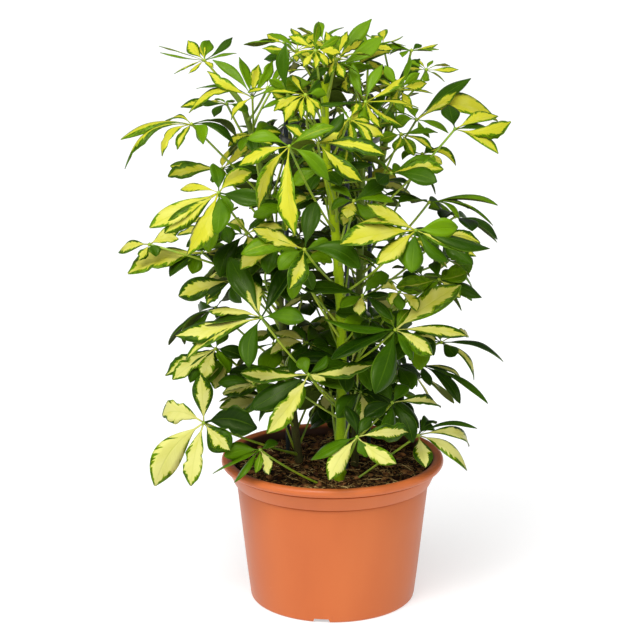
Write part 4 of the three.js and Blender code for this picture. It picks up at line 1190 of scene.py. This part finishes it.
YOUNG_LEAVES = [
    ("left", 350, (-128, -60, 474), 30, -110, 50, 40, "150y 185v 215d 250g 290d 330g 60g"),
    ("left", 290, (-104, -40, 340), 30, -110, 56, 44, "170d 205g 240d 275g 310d 345g"),
    ("front", 300, (-50, -98, 352), 40, -95, 50, 44, "150d 200g 245v 290d 330g 20d"),
    ("front", 330, (34, -96, 398), 34, -85, 50, 40, "12d90/10 180D116/14/20 210g 262y60 320d 60g"),
    ("right", 320, (92, -54, 340), 30, -70, 54, 44, "350y60 15g50 320d70 280g 240d 200g"),
    ("front", 350, (-62, -92, 452), 36, -95, 46, 36, "190y90/20 168l80 216Y100/20 250g 300d 340g"),
    ("front", 420, (24, -100, 508), 36, -85, 46, 40, "10g 50d 130g 200g 250y60 320g"),
    ("right", 370, (122, -60, 458), 26, -60, 58, 40,
     "12v90/30 352Y84/20 336v86/30 318d96/40 30g50 200g50 250g40"),
    ("back", 400, (104, -20, 549), 22, -60, 50, 44, "18v104/60/-10/80 45d50/30 332y56 300g50 260d60 210g60"),
    ("left", 430, (-92, -44, 574), 24, -100, 50, 50, "168v60 205y66 240g60 280d 330g 20g 60g"),
    ("right", 200, (64, 20, 250), 30, -60, 56, 46, "10d 330d 290g 250d 200g"),
    ("left", 230, (-122, -10, 300), 30, -120, 54, 44, "190d 220g 250y 290g 150d"),
    ("front", 560, (-30, -96, 626), 38, -90, 42, 50, "200y 230Y 262y 292Y 322y 20g 60d 110g 160g"),
    ("front", 575, (-50, -84, 624), 68, -90, 46, 8, "92D108 205g70 335g70 270g50 40g60 140g60"),
    ("front", 612, (4, -62, 662), 45, -80, 42, 26, "20y 48y 75l 105g 140l 250y 290l 330g"),
    ("back", 590, (108, -10, 645), 26, -60, 34, 16,
     "8y110///50 34y100///50 70l///60 112g///60 160l///60 215y 260l 312y90///60"),
    ("right", 560, (76, -54, 628), 52, -80, 38, 16, "44l80 76G 20y84 120g 160g 200l 250l 300y"),
    ("left", 440, (-102, -40, 538), 30, -100, 56, 40, "170D106/60/-10/60 200g60 250g60 300d 340d 40g"),
    ("left", 585, (-73, -60, 630), 46, -90, 36, 10,
     "92y100/6/0/80 146D125/8/0/140 118g76 60G90 20g 200g 320g"),
    ("front", 618, (-40, -40, 670), 30, -90, 40, 18, "100l 60g 140g 20y 185l 230y 270y 320y"),
    ("right", 575, (42, 10, 668), 25, -60, 36, 18, "0g 30l 75g 120g 170g 215l 260y 310l"),
    ("front", 540, (18, -104, 600), 40, -80, 44, 50, "205l 240y 275l 310g 345y 25g 70g 120g"),
    ("left", 560, (-100, 30, 640), 30, -110, 44, 30, "10g 60g 110g 160g 205l 250y 300g"),
    ("right", 585, (60, 40, 640), 26, -70, 46, 30, "5g 50l 95g 150g 200g 255l 310y"),
    ("back", 610, (60, 60, 668), 22, -70, 42, 24, "0g 45l 90g 140g 190g 235l 280g 325g"),
    ("front", 625, (-10, 0, 676), 24, -80, 38, 20, "10l 55g 100g 145y 190g 240l 290g 330y"),
]

before_young = number
for stem, height, *shape in YOUNG_LEAVES:
    number += 1
    root = point_at_height(stems[stem], height)
    grow(Leaf(number, f"young_leaf_{number - before_young:02d}", stem, root, *shape))

# -----------------------------------------------------------------------------------------------------------
# The leaves between
# -----------------------------------------------------------------------------------------------------------
# The same leaves again, deeper in the bush and at its back, wherever the others leave it open. Each grows
# from the nearest stem and leans outwards to the light. Their hubs lie in levels, on a spiral from the
# middle outwards.

INNER_LOWEST = 215
INNER_HIGHEST = 645
INNER_STEP = 30
INNER_ROUND = 40  # how many places a level has
INNER_SPACING = 28  # how near one hub may be to another
CROWN_CLOSER = 8  # how much nearer hubs may be in the crown, with a gradual change from the next height up
CROWN_BEGINS = 520
INNER_FRONT = -80  # none has its hub nearer to the front
INNER_ROOT = 172  # none of their stalks leaves its stem lower down
GOLDEN_ANGLE = 137.508
BUSH_CENTRE = (10, 30)
BUSH_RADIUS, BUSH_BULGE, BUSH_TAPER = 105, 60, 30
BUSH_DEPTH = 0.95  # from front to back, as a share of its width
# the hollows between the tiers of the bush, which stay open: how far to the right, how high, and the radius
INNER_HOLLOWS = [(138, 340, 62), (86, 512, 52), (-118, 284, 54), (-130, 566, 50)]
INNER_LETTERS = "gdgddvdgdydg"  # mostly green, and now and then marked


def bush_radius(z):
    """How far out the hubs of the inner leaves reach at a height."""
    share = (z - INNER_LOWEST) / (INNER_HIGHEST - INNER_LOWEST)
    return BUSH_RADIUS + BUSH_BULGE * math.sin(math.pi * min(1, share * 1.15)) - BUSH_TAPER * share


def inner_leaf(number, hub):
    """A leaf with its hub at a place, from a little lower on the stem that is nearest."""
    drop = 45 + 50 * variation(number + 0.31)
    starts = {name: point_at_height(curve, max(INNER_ROOT, hub.z - drop)) for name, curve in stems.items()}
    stem = min(starts, key=lambda each: (starts[each] - hub).length)
    root = starts[stem]
    outwards = math.degrees(math.atan2(hub.y - root.y, hub.x - root.x))
    high = (hub.z - INNER_LOWEST) / (INNER_HIGHEST - INNER_LOWEST)
    count = 6 + int(3 * variation(number + 0.41))
    turn = 360 * variation(number + 0.51)
    letters = [INNER_LETTERS[int(variation(number * 3.7 + i) * len(INNER_LETTERS))] for i in range(count)]
    blades = " ".join(f"{turn + 360 * i / count:.0f}{letter}" for i, letter in enumerate(letters))
    tilt = 18 + 28 * variation(number + 0.61)
    length = 78 - 16 * high - 10 * variation(number + 0.71)
    name = f"inner_leaf_{number - before_inner:02d}"
    return Leaf(number, name, stem, root, hub, tilt, outwards, length, 48 - 14 * high, blades)


def is_open(hub):
    """Whether an inner leaf may have its hub at a place."""
    spacing = INNER_SPACING - CROWN_CLOSER * min(1, max(0, (hub.z - CROWN_BEGINS) / 60))
    if any(math.hypot(hub.x - x, hub.z - z) < wide for x, z, wide in INNER_HOLLOWS):
        return False
    return hub.y >= INNER_FRONT and min((hub - other).length for other in hubs) >= spacing


before_inner = number
for level in range(int((INNER_HIGHEST - INNER_LOWEST) / INNER_STEP) + 1):
    z = INNER_LOWEST + INNER_STEP * level
    for k in range(INNER_ROUND):
        turn = math.radians(GOLDEN_ANGLE * (INNER_ROUND * level + k))
        reach = bush_radius(z) * math.sqrt((k + 0.8) / INNER_ROUND)
        x = BUSH_CENTRE[0] + reach * math.cos(turn)
        y = BUSH_CENTRE[1] + BUSH_DEPTH * reach * math.sin(turn)
        hub = Vector((x, y, z + 20 * variation(k + level)))
        if is_open(hub) and grow(inner_leaf(number + 1, hub)):
            number += 1

# -----------------------------------------------------------------------------------------------------------
# The floor, the lights and the camera
# -----------------------------------------------------------------------------------------------------------
# A wide white floor that glows a little, a white sky that lights less than it shows, and four soft lamps. The
# camera looks a little down.

SKY_LIGHT = 0.2
FLOOR_GLOW = 0.52
BUSH_MIDDLE = Vector((0, 0, 0.4))  # what the lamps point at
CAMERA_DROP = 13.75  # how far the camera looks down from level, in degrees
bm = bmesh.new()
bmesh.ops.create_grid(bm, x_segments=1, y_segments=1, size=20)
floor_look, tree, shader = new_material("floor_paint", Roughness=0.8)
speckle = mottled(tree, 3.0, 1.0, 60.0)
tree.links.new(ramp(tree, speckle["Mottle"], (0.3, (0.53, 0.53, 0.53)), (0.7, (0.55, 0.55, 0.55))),
               shader.inputs["Base Color"])
shader.inputs["Emission Color"].default_value = (1, 1, 1, 1)
shader.inputs["Emission Strength"].default_value = FLOOR_GLOW
finished(bm, "floor", [floor_look])

world = bpy.data.worlds.new("studio")
bpy.context.scene.world = world
world.use_nodes = True
sky = world.node_tree
straight = node(sky, "LightPath").outputs["Is Camera Ray"]
strength = node(sky, "MapRange", {"Value": straight, "To Min": SKY_LIGHT, "To Max": 1.0}).outputs[0]
sky.links.new(strength, sky.nodes["Background"].inputs["Strength"])
sky.nodes["Background"].inputs["Color"].default_value = (1, 1, 1, 1)

# each lamp: its kind, where it shines from, its size (for a sun, an angle), and its power
LAMPS = {
    "key": ("SUN", (-0.35, -1.0, 2.2), math.radians(80), 2.75),
    "fill": ("SUN", (1.6, -1.5, 1.4), math.radians(80), 0.55),
    "left_softbox": ("AREA", (-1.7, -1.6, 1.5), 1.3, 9),
    "top_softbox": ("AREA", (-0.5, -1.2, 2.0), 0.8, 24),
}
for name, (kind, place, size, power) in LAMPS.items():
    lamp = bpy.data.lights.new(name, kind)
    lamp.energy = power
    if kind == "SUN":
        lamp.angle = size
    else:
        lamp.size = size
    stand = bpy.data.objects.new(name, lamp)
    stand.location = place
    stand.rotation_euler = (BUSH_MIDDLE - Vector(place)).to_track_quat("-Z", "Y").to_euler()
    bpy.context.scene.collection.objects.link(stand)

camera = bpy.data.cameras.new("camera")
camera.lens = 101.7
camera.sensor_width = 36
camera.shift_x = -0.0195
stand = bpy.data.objects.new("camera", camera)
stand.location = (0, -2.1, 0.86)
stand.rotation_euler = (math.radians(90 - CAMERA_DROP), 0, 0)
bpy.context.scene.collection.objects.link(stand)
bpy.context.scene.camera = stand
bpy.context.scene.view_settings.view_transform = "Standard"
